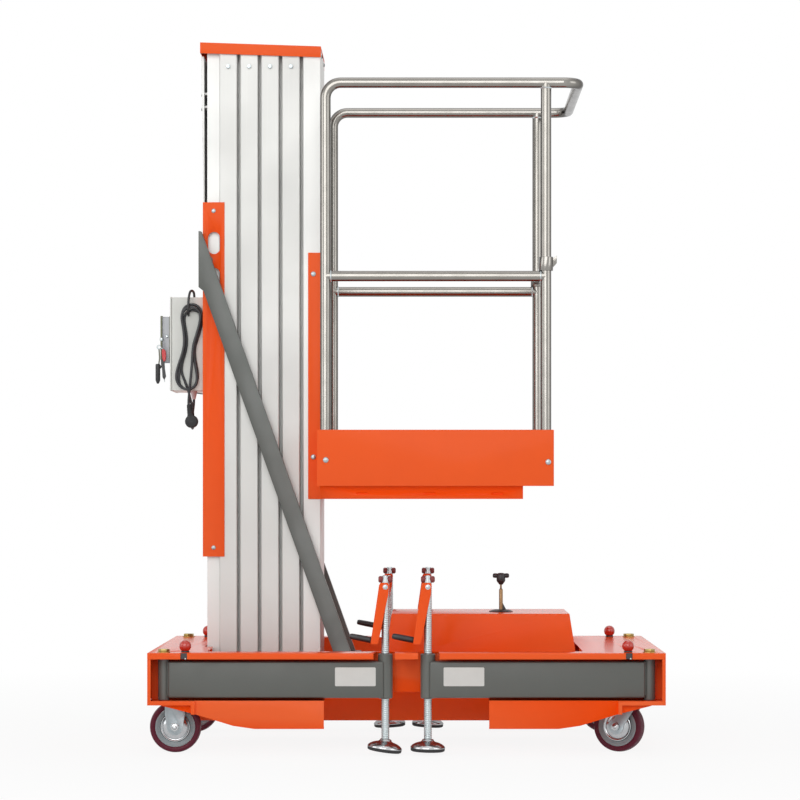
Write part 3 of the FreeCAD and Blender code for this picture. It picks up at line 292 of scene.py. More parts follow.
# Each look: base and second tone, size of the tone's clouds in mm, roughness range, size of the grain in mm
# (and its length up the mast), depth of the grain in mm, tone and share of paler edges (wear plus painted
# highlight), tone, share and start of the painted reflection that darkens a metal's rim, and the shader's
# other values where its own defaults don't fit.
looks = {
    # Powder-coated steel: a thick gloss film with dimples about 2 mm across, paler on edges where it thins
    # and as a painted highlight
    "orangePowderCoat": {
        "tones": ("FF5004", "F74A03"), "cloud": 90, "rough": (0.3, 0.4), "grain": 2.2, "depth": 0.02,
        "edge": ("FF9460", 0.35),
        "fixed": {
            "IOR": 1.42, "Specular IOR Level": 0.0, "Coat Weight": 1.0, "Coat IOR": 1.15,
            "Coat Roughness": 0.18,
        },
    },
    # Dark grey enamel: satin, brushed on thinly, so the film shows a faint texture
    "greyEnamel": {
        "tones": ("575A56", "50534F"), "cloud": 60, "rough": (0.34, 0.46), "grain": 1.6, "depth": 0.02,
        "edge": ("8A8D88", 0.4),
    },
    # Light grey powder coat on the control box: fine wrinkle about 1 mm across
    "boxPowderCoat": {
        "tones": ("E6E7E2", "DDDED8"), "cloud": 70, "rough": (0.42, 0.55), "grain": 1.1, "depth": 0.03,
        "edge": ("DEDFDA", 0.3),
    },
    # Anodised aluminium extrusion: pale satin metal with die lines that run up the mast
    "anodisedAluminium": {
        "tones": ("CDCDCA", "C5C5C2"), "cloud": 240, "rough": (0.42, 0.52), "grain": 1.4, "along": 500,
        "depth": 0.012, "edge": ("F2F2F0", 0.3), "fixed": {"Metallic": 0.45},
    },
    # Polished stainless tube: nearly a mirror; the dark of the room down its sides is a painted reflection in
    # its colour
    "polishedStainless": {
        "tones": ("96938E", "88857F"), "cloud": 40, "rough": (0.16, 0.24), "grain": 9, "depth": 0.003,
        "edge": ("C8C5C0", 0.2), "rim": ("3A3634", 0.9, 0.14), "fixed": {"Metallic": 1.0},
    },
    # Zinc on cut threads: pale, with a painted reflection of the dark room down both sides of the screw
    "threadZinc": {
        "tones": ("C2CCCE", "9DA8AB"), "cloud": 5, "rough": (0.24, 0.38), "grain": 1.2, "depth": 0.004,
        "edge": ("E4EAEB", 0.5), "rim": ("353F41", 0.85, 0.42), "fixed": {"Metallic": 0.9},
    },
    # Bright zinc plate: bluish and a little cloudy
    "zincPlate": {
        "tones": ("A8B1B5", "8F989C"), "cloud": 12, "rough": (0.3, 0.44), "grain": 1.5, "depth": 0.004,
        "edge": ("E2E7E9", 0.5), "fixed": {"Metallic": 0.85},
    },
    # Yellow passivated zinc: brassy with an oily shift of tone
    "yellowZinc": {
        "tones": ("8E7A4A", "6C5F3E"), "cloud": 6, "rough": (0.28, 0.4), "grain": 1.2, "depth": 0.01,
        "edge": ("E6CF7C", 0.5), "fixed": {"Metallic": 0.9},
    },
    # Chromed dome: bright with dull patches, its rim darkened by a painted reflection of the dark room
    "chromePlate": {
        "tones": ("C4C6C8", "A2A5A8"), "cloud": 16, "rough": (0.16, 0.26), "grain": 6, "depth": 0.002,
        "edge": ("E6E8E8", 0.4), "rim": ("3B3B40", 0.8, 0.25), "fixed": {"Metallic": 0.9},
    },
    # Moulded black ABS: a fine spark-eroded skin
    "blackAbs": {
        "tones": ("232325", "1B1B1D"), "cloud": 20, "rough": (0.38, 0.5), "grain": 0.9, "depth": 0.015,
        "edge": ("4A4A4D", 0.4),
    },
    # Phenolic ball knob: hard and glossy
    "redPhenolic": {
        "tones": ("CF3B2C", "C23225"), "cloud": 10, "rough": (0.16, 0.26), "grain": 3, "depth": 0.006,
        "edge": ("E4604E", 0.2), "fixed": {"IOR": 1.55, "Coat Weight": 0.3},
    },
    # Cast polyurethane tyre: wine red, satin, with a scuffed tread
    "winePolyurethane": {
        "tones": ("5E0F2A", "480E20"), "cloud": 9, "rough": (0.38, 0.58), "grain": 1.6, "depth": 0.03,
        "edge": ("7C3145", 0.3), "fixed": {"Specular IOR Level": 0.25},
    },
    # Moulded grey nylon wheel centre: dull with soft flow marks
    "greyNylon": {
        "tones": ("8E9A9E", "828D91"), "cloud": 14, "rough": (0.42, 0.55), "grain": 1.3, "depth": 0.02,
        "edge": ("AFB9BC", 0.3), "fixed": {"IOR": 1.53},
    },
    # Black rubber: matt and slightly dusty
    "blackRubber": {
        "tones": ("202022", "2B2B2C"), "cloud": 8, "rough": (0.6, 0.8), "grain": 1.0, "depth": 0.03,
        "edge": ("3A3A3B", 0.3),
    },
    # Cord sheath: flexible PVC, smooth with a soft shine
    "cordPvc": {
        "tones": ("2C2C30", "232327"), "cloud": 12, "rough": (0.32, 0.44), "grain": 1.2, "depth": 0.015,
        "edge": ("3C3C40", 0.2),
    },
    # Hood over the switches: smoky grey-blue acrylic sheet
    "smokyAcrylic": {
        "tones": ("B2B6C2", "A2A6B4"), "cloud": 30, "rough": (0.12, 0.22), "grain": 4, "depth": 0.006,
        "edge": ("8F8A5C", 0.3), "fixed": {"IOR": 1.49, "Coat Weight": 0.3},
    },
    # Rubber edging of the hood: olive and matt
    "oliveRubber": {
        "tones": ("6E705A", "5C5E4A"), "cloud": 8, "rough": (0.5, 0.65), "grain": 1.2, "depth": 0.02,
        "edge": ("8C8E76", 0.3),
    },
    # Blank label: white vinyl on thin aluminium
    "whiteVinyl": {
        "tones": ("DCDCD8", "D2D2CE"), "cloud": 25, "rough": (0.36, 0.46), "grain": 1.4, "depth": 0.008,
        "edge": ("F6F5F1", 0.2),
    },
    # Cable gland: pinkish moulded nylon
    "pinkNylon": {
        "tones": ("DCC4C6", "CDB4B6"), "cloud": 8, "rough": (0.36, 0.5), "grain": 1.2, "depth": 0.02,
        "edge": ("E2C4C2", 0.3), "fixed": {"IOR": 1.53},
    },
    # Red lead primer left on the cut ends of the jack's cross piece
    "maroonPrimer": {
        "tones": ("8E2A36", "6C2430"), "cloud": 5, "rough": (0.5, 0.65), "grain": 1.2, "depth": 0.03,
        "edge": ("9A5A4A", 0.4),
    },
    # Bronzed steel stem under the cover's knob
    "bronzedSteel": {
        "tones": ("8A6D50", "6F5640"), "cloud": 5, "rough": (0.3, 0.45), "grain": 1.5, "depth": 0.01,
        "edge": ("B8946A", 0.4), "fixed": {"Metallic": 0.9},
    },
    # Red dipped vinyl on the key's bow
    "redVinyl": {
        "tones": ("D4252B", "C01F26"), "cloud": 6, "rough": (0.26, 0.36), "grain": 1.5, "depth": 0.01,
        "edge": ("E85A5E", 0.3),
    },
    # Cast housing of the power unit, seen only from below
    "sandCast": {
        "tones": ("8B8C8B", "7C7D7C"), "cloud": 10, "rough": (0.55, 0.7), "grain": 1.2, "depth": 0.05,
        "edge": ("A5A6A5", 0.4), "fixed": {"Metallic": 0.6},
    },
}
# Rounded edges between these pointiness values are painted paler, partly as wear and partly as a painted
# highlight
edgeWearAndHighlightStart, edgeWearAndHighlightEnd = 0.51, 0.60  # pointiness of a rounded edge
# Span of the painted reflection that darkens a metal as its face turns from the view
paintedReflectionSpan = 0.5  # from where a face starts to turn dark to where it is darkest
cloudSpan = (0.3, 0.7)  # the part of the noise's range that its clouds really use
for name, look in looks.items():
    material = bpy.data.materials.new(name)
    material.use_nodes = True
    tree = material.node_tree
    tree.nodes.clear()
    where = addNode(tree, "ShaderNodeTexCoord").outputs["Object"]
    clouds = addNode(
        tree, "ShaderNodeTexNoise", {"Vector": where, "Scale": 1000 / look["cloud"], "Detail": 3.0},
    )
    tone = addNode(
        tree, "ShaderNodeMix",
        {0: clouds.outputs["Fac"], 6: linear(look["tones"][0]), 7: linear(look["tones"][1])},
        data_type="RGBA",
    )
    corner = addNode(tree, "ShaderNodeNewGeometry").outputs["Pointiness"]
    # Edge tone mixed in by pointiness: partly wear, partly a painted highlight on rounded edges
    wornAndLitEdge = addNode(
        tree, "ShaderNodeMapRange",
        {"Value": corner, "From Min": edgeWearAndHighlightStart, "From Max": edgeWearAndHighlightEnd, "To Max": look["edge"][1]},
    )
    colour = addNode(
        tree, "ShaderNodeMix",
        {0: wornAndLitEdge.outputs[0], 6: tone.outputs[2], 7: linear(look["edge"][0])}, data_type="RGBA",
    )
    # Painted reflection: looks with a rim tone are painted darker where the face turns away from the view,
    # standing in for the dark room
    turnedAway = addNode(tree, "ShaderNodeLayerWeight", {"Blend": 0.5}).outputs["Facing"]
    paintedReflectionTone, paintedReflectionShare, paintedReflectionStart = look.get("rim", ("000000", 0.0, 0.0))
    paintedReflection = addNode(
        tree, "ShaderNodeMapRange",
        {"Value": turnedAway, "From Min": paintedReflectionStart, "From Max": paintedReflectionStart + paintedReflectionSpan, "To Max": paintedReflectionShare},
    )
    colour = addNode(
        tree, "ShaderNodeMix",
        {0: paintedReflection.outputs[0], 6: colour.outputs[2], 7: linear(paintedReflectionTone)}, data_type="RGBA",
    )
    fine = 1000 / look["grain"]
    stretch = addNode(
        tree, "ShaderNodeMapping",
        {"Vector": where, "Scale": (fine, fine, 1000 / look["along"] if "along" in look else fine)},
    )
    grain = addNode(tree, "ShaderNodeTexNoise", {"Vector": stretch.outputs[0], "Scale": 1.0, "Detail": 2.0})
    rough = addNode(
        tree, "ShaderNodeMapRange",
        {
            "Value": clouds.outputs["Fac"], "From Min": cloudSpan[0], "From Max": cloudSpan[1],
            "To Min": look["rough"][0], "To Max": look["rough"][1],
        },
    )
    relief = addNode(
        tree, "ShaderNodeBump",
        {"Height": grain.outputs["Fac"], "Strength": 0.6, "Distance": look["depth"] / 1000},
    )
    shader = addNode(
        tree, "ShaderNodeBsdfPrincipled",
        {
            "Base Color": colour.outputs[2], "Roughness": rough.outputs[0], "Normal": relief.outputs[0],
            **look.get("fixed", {}),
        },
    )
    addNode(tree, "ShaderNodeOutputMaterial", {"Surface": shader.outputs[0]})
    finishes[name] = material
print("materials ready")

# slot and finish of what comes more than once
orange = ("orange_paint", "orangePowderCoat")
greyPaint = ("grey_paint", "greyEnamel")
boxPaint = ("light_grey_paint", "boxPowderCoat")
zinc = ("zinc", "zincPlate")
cutZinc = ("zinc", "threadZinc")
chrome = ("zinc", "chromePlate")
blackPlastic = ("black_plastic", "blackAbs")
redKnob = ("red_knob", "redPhenolic")

# Sheet metal and extrusions that keep the frame's shapes

# node: body, slot and finish, edge radius
dressed = {
    "base_deck": ("chassis", orange, 0.0012),
    "end_frames": ("chassis", orange, 0.0010),
    "side_webs": ("chassis", orange, 0.0008),
    "skirts": ("chassis", orange, 0.0010),
    "trough": ("chassis", orange, 0.0012),
    "deck_covers": ("chassis", orange, 0.0025),
    "mast_cap": ("platform", orange, 0.0008),
    "back_channel": ("chassis", orange, 0.0010),
    "back_guard": ("chassis", ("anodised", "anodisedAluminium"), 0.0008),
    "struts": ("chassis", greyPaint, 0.0020),
    "toe_boards": ("platform", orange, 0.0010),
    "platform_bracket": ("platform", orange, 0.0014),
    "platform_floor": ("platform", orange, 0.0008),
    "gate_bar": ("gate", ("stainless", "polishedStainless"), 0.0008),
    "rigid_forks": ("chassis", zinc, 0.0008),
    "swivel_mounts": ("chassis", zinc, 0.0006),
    "swivel_fork_near": ("fork_near", zinc, 0.0008),
    "swivel_fork_far": ("fork_far", zinc, 0.0008),
}
for node, (body, look, edge) in dressed.items():
    finishPiece(node + "_sheet", fromFrame(node), body, *look, bevel=edge, replaces=(node,))
for number in range(1, 6):
    keepNode(f"mast_section_{number}", "anodisedAluminium")
for node in ("rail_near", "rail_far", "rail_end"):
    keepNode(node, "polishedStainless")
keepNode("power_unit", "sandCast")
print("sheet metal ready")

# Wheels

wheel = {
    "radius": 0.0665, "fixedX": 0.604, "swivelX": 0.597, "y": 0.308, "trail": 0.045,
    "headings": {"near": 155, "far": 186},
    "tyre": [
        (0.0523, 0.0150), (0.0560, 0.0172), (0.0605, 0.0178), (0.0640, 0.0165), (0.0656, 0.0135),
        (0.0664, 0.0090), (0.0665, 0.0030),
    ],
    "mouldLine": {"z": 0.0042, "foot": 0.0662, "crest": 0.0669, "half": 0.0006},
    "centre": [
        (0.0520, 0.0150), (0.0500, 0.0156), (0.0470, 0.0150), (0.0440, 0.0138), (0.0400, 0.0134),
        (0.0392, 0.0128), (0.0386, 0.0100), (0.0300, 0.0090), (0.0200, 0.0100), (0.0175, 0.0220),
        (0.0062, 0.0225),
    ],
    "guard": [
        (0.0090, 0.0215), (0.0180, 0.0212), (0.0300, 0.0168), (0.0322, 0.0146), (0.0340, 0.0152),
        (0.0362, 0.0166), (0.0378, 0.0160), (0.0382, 0.0140), (0.0360, 0.0138), (0.0330, 0.0126),
        (0.0180, 0.0188), (0.0090, 0.0195),
    ],
}
wheelPlaces = {}
for place, ySide in (("near", -1), ("far", 1)):
    upright = Matrix.Rotation(math.radians(-90), 4, "X")
    left = placed((-wheel["fixedX"], ySide * wheel["y"], wheel["radius"]))
    swing = placed((wheel["swivelX"], ySide * wheel["y"], wheel["radius"]), wheel["headings"][place], "Z")
    wheelPlaces[place + "_left"] = left @ upright
    wheelPlaces[place + "_right"] = swing @ placed((wheel["trail"], 0, 0)) @ upright


def bothFaces(outline):
    return [(r, -z) for r, z in outline] + [(r, z) for r, z in reversed(outline)]


for place, where in wheelPlaces.items():
    body = "wheel_" + place
    bm = bmesh.new()
    addTurned(bm, bothFaces(wheel["tyre"]), 96, where, closed=True)
    line = wheel["mouldLine"]
    for z in (-line["z"], line["z"]):
        ring = [
            (line["foot"], z - line["half"]), (line["crest"], z - line["half"] / 2),
            (line["crest"], z + line["half"] / 2), (line["foot"], z + line["half"]),
        ]
        addTurned(bm, ring, 96, where, closed=True)
    finishPiece("tyreRing_" + place, bm, body, "wine_tyre", "winePolyurethane", replaces=("tyre_" + place,))
    turnedPiece(
        "wheelCentre_" + place, bothFaces(wheel["centre"]), 72, where, body, "hub_grey", "greyNylon",
        closed=True, replaces=("hub_" + place,),
    )
    bm = bmesh.new()
    for flip in (1, -1):
        addTurned(bm, [(r, flip * z) for r, z in wheel["guard"]], 64, where, closed=True)
    finishPiece("threadGuard_" + place, bm, body, *chrome)
print("wheels ready")

# Axle nuts and caster bolts

axleNut = {
    "out": 0.0265, "across": 0.0175, "height": 0.0070, "washer": 0.0115, "end": (0.0055, 0.0040, 0.0068),
}
forkBodies = {
    "near_left": "chassis", "far_left": "chassis", "near_right": "fork_near", "far_right": "fork_far",
}
for fork, body in forkBodies.items():
    bm = bmesh.new()
    for flip in (0, 180):
        outward = wheelPlaces[fork] @ placed((0, 0, 0), flip, "X") @ placed((0, 0, axleNut["out"]))
        hexHead(bm, outward, axleNut["across"], axleNut["height"], washer=axleNut["washer"])
        endRadius, endHeight, endRise = axleNut["end"]
        domeHead(bm, outward @ placed((0, 0, endRise)), endRadius, endHeight)
    finishPiece("axleNuts_" + fork, bm, body, *chrome, smooth=30)

casterBolt = {
    "spread": (0.038, 0.030), "under": 0.152, "across": 0.013, "height": 0.006, "washer": 0.008,
    "domeZ": 0.160, "dome": (0.007, 0.005),
}
bm = bmesh.new()
for x in (-wheel["fixedX"], wheel["swivelX"]):
    for y in (-wheel["y"], wheel["y"]):
        for xSide, ySide in corners.values():
            spotX = x + xSide * casterBolt["spread"][0]
            spotY = y + ySide * casterBolt["spread"][1]
            down = placed((spotX, spotY, casterBolt["under"]), 180, "X")
            hexHead(bm, down, casterBolt["across"], casterBolt["height"], washer=casterBolt["washer"])
            domeHead(bm, placed((spotX, spotY, casterBolt["domeZ"])), *casterBolt["dome"])
finishPiece("casterBolts", bm, "chassis", *zinc, smooth=30)
print("axles ready")

# Outrigger arms

arm = {
    "pivot": (0.628, 0.380), "jackX": 0.055, "width": 0.050, "low": 0.148, "high": 0.242, "gap": 0.013,
    "endGap": 0.004, "round": 0.005,
    # bore, radius, low, high, edge
    "pivotTube": (0.0081, 0.0150, 0.1418, 0.2617, 0.0012),
    "sleeve": (0.0108, 0.0190, 0.1460, 0.2610, 0.0020),
    "neck": {"half": 0.011, "low": 0.1548, "high": 0.241, "sunk": (0.008, 0.004)},
    "weld": {"inward": (-0.0005, 0.0085), "out": 0.0005, "z": (0.157, 0.240), "radius": 0.0022},
    "plate": (0.105, 0.0485, 0.0012), "plateX": {-1: -0.132, 1: 0.148}, "plateZ": 0.203,
    "plateRound": 0.003,
}


def pipe(bore, radius, low, high, edge):
    return [
        (bore, low), (radius - edge, low), (radius, low + edge), (radius, high - edge),
        (radius - edge, high), (bore, high),
    ]


for place, (xSide, ySide) in corners.items():
    body = "arm_body_" + place
    pivotX, armY = xSide * arm["pivot"][0], ySide * arm["pivot"][1]
    jackX = xSide * arm["jackX"]
    rootX = pivotX - xSide * arm["gap"]
    half = arm["width"] / 2
    bm = bmesh.new()
    bar = bmesh.new()
    addBox(bar, (rootX, armY - half, arm["low"]), (jackX + xSide * arm["endGap"], armY + half, arm["high"]))
    roundEdges(bar, bar.edges, arm["round"])
    joinInto(bm, bar)
    addTurned(bm, pipe(*arm["pivotTube"]), 40, placed((pivotX, armY, 0)), closed=True)
    neck = arm["neck"]
    addBox(
        bm, (pivotX - xSide * neck["sunk"][0], armY - neck["half"], neck["low"]),
        (rootX - xSide * neck["sunk"][1], armY + neck["half"], neck["high"]),
    )
    addTurned(bm, pipe(*arm["sleeve"]), 48, placed((jackX, armY, 0)), closed=True)
    weld = arm["weld"]
    for inward in weld["inward"]:  # beads down both sides of the neck
        x = rootX + xSide * inward
        for side in bothSides:
            y = armY + side * (neck["half"] + weld["out"])
            addRod(bm, (x, y, weld["z"][0]), (x, y, weld["z"][1]), weld["radius"], segments=10)
    finishPiece("armTube_" + place, bm, body, *greyPaint, replaces=("arm_" + place,), smooth=35)
    if ySide > 0:
        continue
    bm = bmesh.new()
    wide, tall, thick = arm["plate"]
    atX, faceY = arm["plateX"][xSide], armY - half
    addBox(
        bm, (atX - wide / 2, faceY - thick, arm["plateZ"] - tall / 2),
        (atX + wide / 2, faceY, arm["plateZ"] + tall / 2),
    )
    acrossPlate = [e for e in bm.edges if abs(e.verts[0].co.y - e.verts[1].co.y) > thick / 2]
    roundEdges(bm, acrossPlate, arm["plateRound"])
    finishPiece("blankPlate_" + place, bm, body, "light_grey_paint", "whiteVinyl", bevel=0.0003)
print("arms ready")

# Jacks: threaded screw, cross piece, tilting foot, folding crank

jack = {
    "x": 0.055, "y": 0.380, "screw": 0.0105, "screwLow": 0.036, "pitch": 0.005, "threadDepth": 0.0011,
    "threadLow": 0.040, "threadTop": 0.446, "threadSteps": 18, "capRadius": 0.0080, "capTop": 0.4635,
    "capLength": 0.022, "capEdge": 0.0015, "crossZ": 0.4535, "crossRadius": 0.0085, "crossHalf": 0.018,
    "crossGap": 0.0055, "footJoint": 0.030,
    "footTilt": {"near_left": 8.0, "near_right": 1.5, "far_left": -3.0, "far_right": 3.5},
    "dome": [
        (0.0430, 0.0165), (0.0452, 0.0170), (0.0455, 0.0185), (0.0436, 0.0222), (0.0390, 0.0262),
        (0.0320, 0.0300), (0.0240, 0.0326), (0.0180, 0.0338), (0.0158, 0.0352), (0.0150, 0.0385),
        (0.0135, 0.0402), (0.0100, 0.0404),
    ],
    "pad": [
        (0, 0.0082), (0.0400, 0.0082), (0.0436, 0.0100), (0.0446, 0.0135), (0.0440, 0.0178), (0, 0.0178),
    ],
}
crank = {
    "boltZ": 0.434, "drop": 0.148, "above": 0.011, "lean": 0.028, "top": 0.026, "behind": 0.62,
    "tip": 0.020, "inside": 0.0125, "sheet": 0.0025,
    "bolt": {"across": 0.010, "height": 0.0042, "washer": 0.0065, "shank": 0.003}, "gripZ": 0.2955,
    "gripOut": 0.005, "gripLength": 0.061, "gripRadius": 0.0080, "gripRise": 11.0,
}
for place, (xSide, ySide) in corners.items():
    body = "jack_" + place
    at = Vector((xSide * jack["x"], ySide * jack["y"], 0))
    core, crest = jack["screw"] - jack["threadDepth"], jack["screw"]
    bm = bmesh.new()
    screwLow, screwTop = (at + Vector((0, 0, jack[end])) for end in ("screwLow", "crossZ"))
    addRod(bm, screwLow, screwTop, core, segments=24)
    ridge = bmesh.new()
    outline = [
        (core - 0.0006, -0.0022), (core, -0.0020), (crest, -0.0008), (crest, 0.0008), (core, 0.0020),
        (core - 0.0006, 0.0022),
    ]
    ring = [ridge.verts.new((r, 0, z)) for r, z in outline]
    lines = [ridge.edges.new(pair) for pair in zip(ring, ring[1:] + ring[:1])]
    turns = (jack["threadTop"] - jack["threadLow"]) / jack["pitch"]
    steps = int(turns * jack["threadSteps"])
    bmesh.ops.spin(
        ridge, geom=ring + lines, cent=(0, 0, 0), axis=(0, 0, 1), angle=2 * math.pi * turns, steps=steps,
        dvec=(0, 0, jack["pitch"] * turns / steps),
    )
    joinInto(bm, ridge, placed(at + Vector((0, 0, jack["threadLow"]))))
    capTop = at + Vector((0, 0, jack["capTop"]))
    capLow = capTop - Vector((0, 0, jack["capLength"]))
    capEdge = capTop - Vector((0, 0, jack["capEdge"]))
    addRod(bm, capLow, capEdge, jack["capRadius"], segments=24)
    addRod(bm, capEdge, capTop, jack["capRadius"], jack["capRadius"] - jack["capEdge"], segments=24)
    finishPiece("jackThread_" + place, bm, body, *cutZinc, replaces=("jack_screw_" + place,), smooth=45)
    bm = bmesh.new()
    reach, radius = jack["crossHalf"] - jack["crossGap"], jack["crossRadius"]
    lobe = [
        (0, 0), (radius - 0.002, 0), (radius, reach * 0.35), (radius, reach - 0.003),
        (radius - 0.003, reach), (0, reach),
    ]
    for side in bothSides:
        inner = at + Vector((side * jack["crossGap"], 0, jack["crossZ"]))
        addTurned(bm, lobe, 16, placed(inner, 90 * side, "Y"))
    finishPiece("crossPiece_" + place, bm, body, "zinc", "maroonPrimer", smooth=40)
    joint = Vector((0, 0, jack["footJoint"]))
    tilt = placed(at + joint, jack["footTilt"][place], "Y") @ placed(-joint)
    turnedPiece("footDome_" + place, jack["dome"], 56, tilt, body, *chrome, closed=True, smooth=50)
    turnedPiece("footPad_" + place, jack["pad"], 56, tilt, body, "cord_rubber", "blackRubber", smooth=40)

    bm = bmesh.new()
    boltAt = at + Vector((0, 0, crank["boltZ"]))
    top = boltAt.z + crank["above"]
    low = boltAt.z - crank["drop"]
    hang, tip = at.x - crank["lean"], crank["tip"] / 2
    back = at.x - crank["top"] * crank["behind"]
    front = back + crank["top"]
    outline = [
        (back + 0.004, top), (front - 0.003, top), (front, top - 0.006), (front - 0.002, top - 0.030),
        (hang + tip, low + 0.004), (hang + tip - 0.003, low), (hang - tip + 0.002, low),
        (hang - tip, low + 0.004), (back, top - 0.006),
    ]
    for side in bothSides:
        start = at.y + side * crank["inside"]
        addPlate(bm, [(x, start, z) for x, z in outline], (0, side * crank["sheet"], 0))
    spine = [
        (back, top - 0.006), (back + crank["sheet"], top - 0.006),
        (hang - tip + crank["sheet"], low + 0.004), (hang - tip, low + 0.004),
    ]
    spineY = at.y - crank["inside"] - crank["sheet"] / 2
    addPlate(bm, [(x, spineY, z) for x, z in spine], (0, 2 * crank["inside"] + crank["sheet"], 0))
    finishPiece("crankChannel_" + place, bm, body, *orange, bevel=0.0008, replaces=("jack_crank_" + place,))
    bm = bmesh.new()
    reach, bolt = crank["inside"] + crank["sheet"], crank["bolt"]
    for side in bothSides:
        outward = placed(boltAt + Vector((0, side * reach, 0)), -90 * side, "X")
        hexHead(bm, outward, bolt["across"], bolt["height"], washer=bolt["washer"])
    addRod(bm, boltAt - Vector((0, reach, 0)), boltAt + Vector((0, reach, 0)), bolt["shank"], segments=16)
    finishPiece("crankBolt_" + place, bm, body, *zinc, smooth=30)
    radius, length = crank["gripRadius"], crank["gripLength"]
    grip = [
        (0, -0.006), (0.0040, -0.006), (0.0040, 0), (radius - 0.0020, 0), (radius - 0.0005, 0.0015),
        (radius, 0.010), (radius, length * 0.6), (radius - 0.0006, length - 0.006),
        (radius - 0.0020, length - 0.001), (0, length),
    ]
    lean = placed((hang - crank["gripOut"], at.y, crank["gripZ"]), crank["gripRise"] - 90, "Y")
    turnedPiece("crankGrip_" + place, grip, 28, lean, body, *blackPlastic, smooth=50)
print("jacks ready")

# Pivot bolts and lock pins on the deck

deckTop = 0.265
pivotBolt = {"x": 0.628, "y": 0.380, "across": 0.026, "height": 0.0085, "washer": 0.0175, "under": 0.1385}
lockPin = {
    "x": 0.573, "y": 0.380, "ball": 0.0155, "ballZ": 0.281, "tip": 0.2475, "shank": 0.0058,
    "tipBall": 0.0024, "guardY": (0.399, 0.4215), "guardHalf": 0.0080, "guardZ": (0.2500, 0.2638),
}
boltMesh, ballMesh, shankMesh, tipMesh = bmesh.new(), bmesh.new(), bmesh.new(), bmesh.new()
for xSide, ySide in corners.values():
    boltX, boltY = xSide * pivotBolt["x"], ySide * pivotBolt["y"]
    spin = Matrix.Rotation(math.radians(17 * xSide + 8 * ySide), 4, "Z")  # no two heads stand alike
    under = placed((boltX, boltY, pivotBolt["under"]), 180, "X")
    for seat in (placed((boltX, boltY, deckTop)), under):
        hexHead(boltMesh, seat @ spin, pivotBolt["across"], pivotBolt["height"], washer=pivotBolt["washer"])
    pin = Vector((xSide * lockPin["x"], ySide * lockPin["y"], 0))
    ball = bmesh.new()
    bmesh.ops.create_uvsphere(ball, u_segments=36, v_segments=22, radius=lockPin["ball"])
    joinInto(ballMesh, ball, placed(pin + Vector((0, 0, lockPin["ballZ"]))))
    stem = [
        (0, lockPin["tip"] + 0.004), (lockPin["shank"], lockPin["tip"] + 0.004),
        (lockPin["shank"], deckTop - 0.004), (0.0085, deckTop - 0.0035), (0.0085, deckTop),
        (0.0110, deckTop + 0.0005), (0.0108, deckTop + 0.0030), (0.0062, deckTop + 0.0042),
        (0.0058, deckTop + 0.010), (0, deckTop + 0.010),
    ]
    addTurned(shankMesh, stem, 28, placed(pin))
    guardY, guardZ = lockPin["guardY"], lockPin["guardZ"]
    addBox(
        shankMesh, (pin.x - lockPin["guardHalf"], ySide * guardY[0], guardZ[0]),
        (pin.x + lockPin["guardHalf"], ySide * guardY[1], guardZ[1]),
    )
    tip = bmesh.new()
    bmesh.ops.create_uvsphere(tip, u_segments=20, v_segments=12, radius=lockPin["tipBall"])
    front = ySide * (guardY[1] - 0.0004)
    joinInto(tipMesh, tip, placed((pin.x + 0.004, front, lockPin["tip"] + 0.0030)))
finishPiece(
    "pivotBoltHeads", boltMesh, "chassis", "yellow_zinc", "yellowZinc", replaces=("pivot_bolts",),
    smooth=30,
)
finishPiece("lockBalls", ballMesh, "chassis", *redKnob, replaces=("lock_pins",), smooth=80)
finishPiece("lockShanks", shankMesh, "chassis", *blackPlastic, smooth=40)
finishPiece("lockTips", tipMesh, "chassis", "zinc", "whiteVinyl", smooth=60)
print("deck fittings ready")

# Knob on the power unit's cover

coverKnob = {
    "at": (0.253, -0.025), "cover": 0.354, "disc": 0.033, "stem": 0.0052, "stemTop": 0.063, "neck": 0.0026,
    "hubLow": 0.0735, "hub": 0.0120, "top": 0.452, "bar": 0.045,
}
knobPlace = placed((*coverKnob["at"], coverKnob["cover"]))
rise = coverKnob["top"] - coverKnob["cover"]
hub, hubLow, disc = coverKnob["hub"], coverKnob["hubLow"], coverKnob["disc"]
bm = bmesh.new()
rosette = [
    (0.0045, 0), (disc - 0.002, 0), (disc, 0.0014), (disc - 0.006, 0.0040), (0.0200, 0.0060),
    (0.0110, 0.0068), (0.0045, 0.0068),
]
addTurned(bm, rosette, 56, knobPlace, closed=True)
web = bmesh.new()
addPlate(web, [(0.0040, -0.002, 0.005), (0.0150, -0.002, 0.005), (0.0048, -0.002, 0.024)], (0, 0.004, 0))
joinInto(bm, web, knobPlace)
boss = [
    (0, hubLow), (0.0045, hubLow), (hub - 0.0015, hubLow + 0.008), (hub, hubLow + 0.011),
    (hub, rise + 0.002), (hub - 0.002, rise + 0.0055), (hub * 0.5, rise + 0.0072), (0, rise + 0.0075),
]
addTurned(bm, boss, 32, knobPlace)
halfBar = coverKnob["bar"] / 2
bar = [
    (0, -halfBar), (0.0042, 0.0006 - halfBar), (0.0060, 0.0030 - halfBar), (0.0064, 0.0070 - halfBar),
    (0.0056, -0.0060),
]
bar += [(r, -z) for r, z in reversed(bar)]
addTurned(bm, bar, 28, knobPlace @ placed((0, 0, rise), 90, "Y"))
finishPiece("knobHandle", bm, "chassis", *blackPlastic, replaces=("cover_knob",), smooth=50)
radius, top = coverKnob["stem"], coverKnob["stemTop"]
stem = [
    (0, 0.005), (radius, 0.005), (radius, top - 0.004), (radius - 0.001, top - 0.001),
    (coverKnob["neck"], top), (coverKnob["neck"], hubLow + 0.002), (0, hubLow + 0.002),
]
turnedPiece("knobStem", stem, 28, knobPlace, "chassis", "yellow_zinc", "bronzedSteel", smooth=40)
print("cover knob ready")

# Bolts, welds and the chequered tread

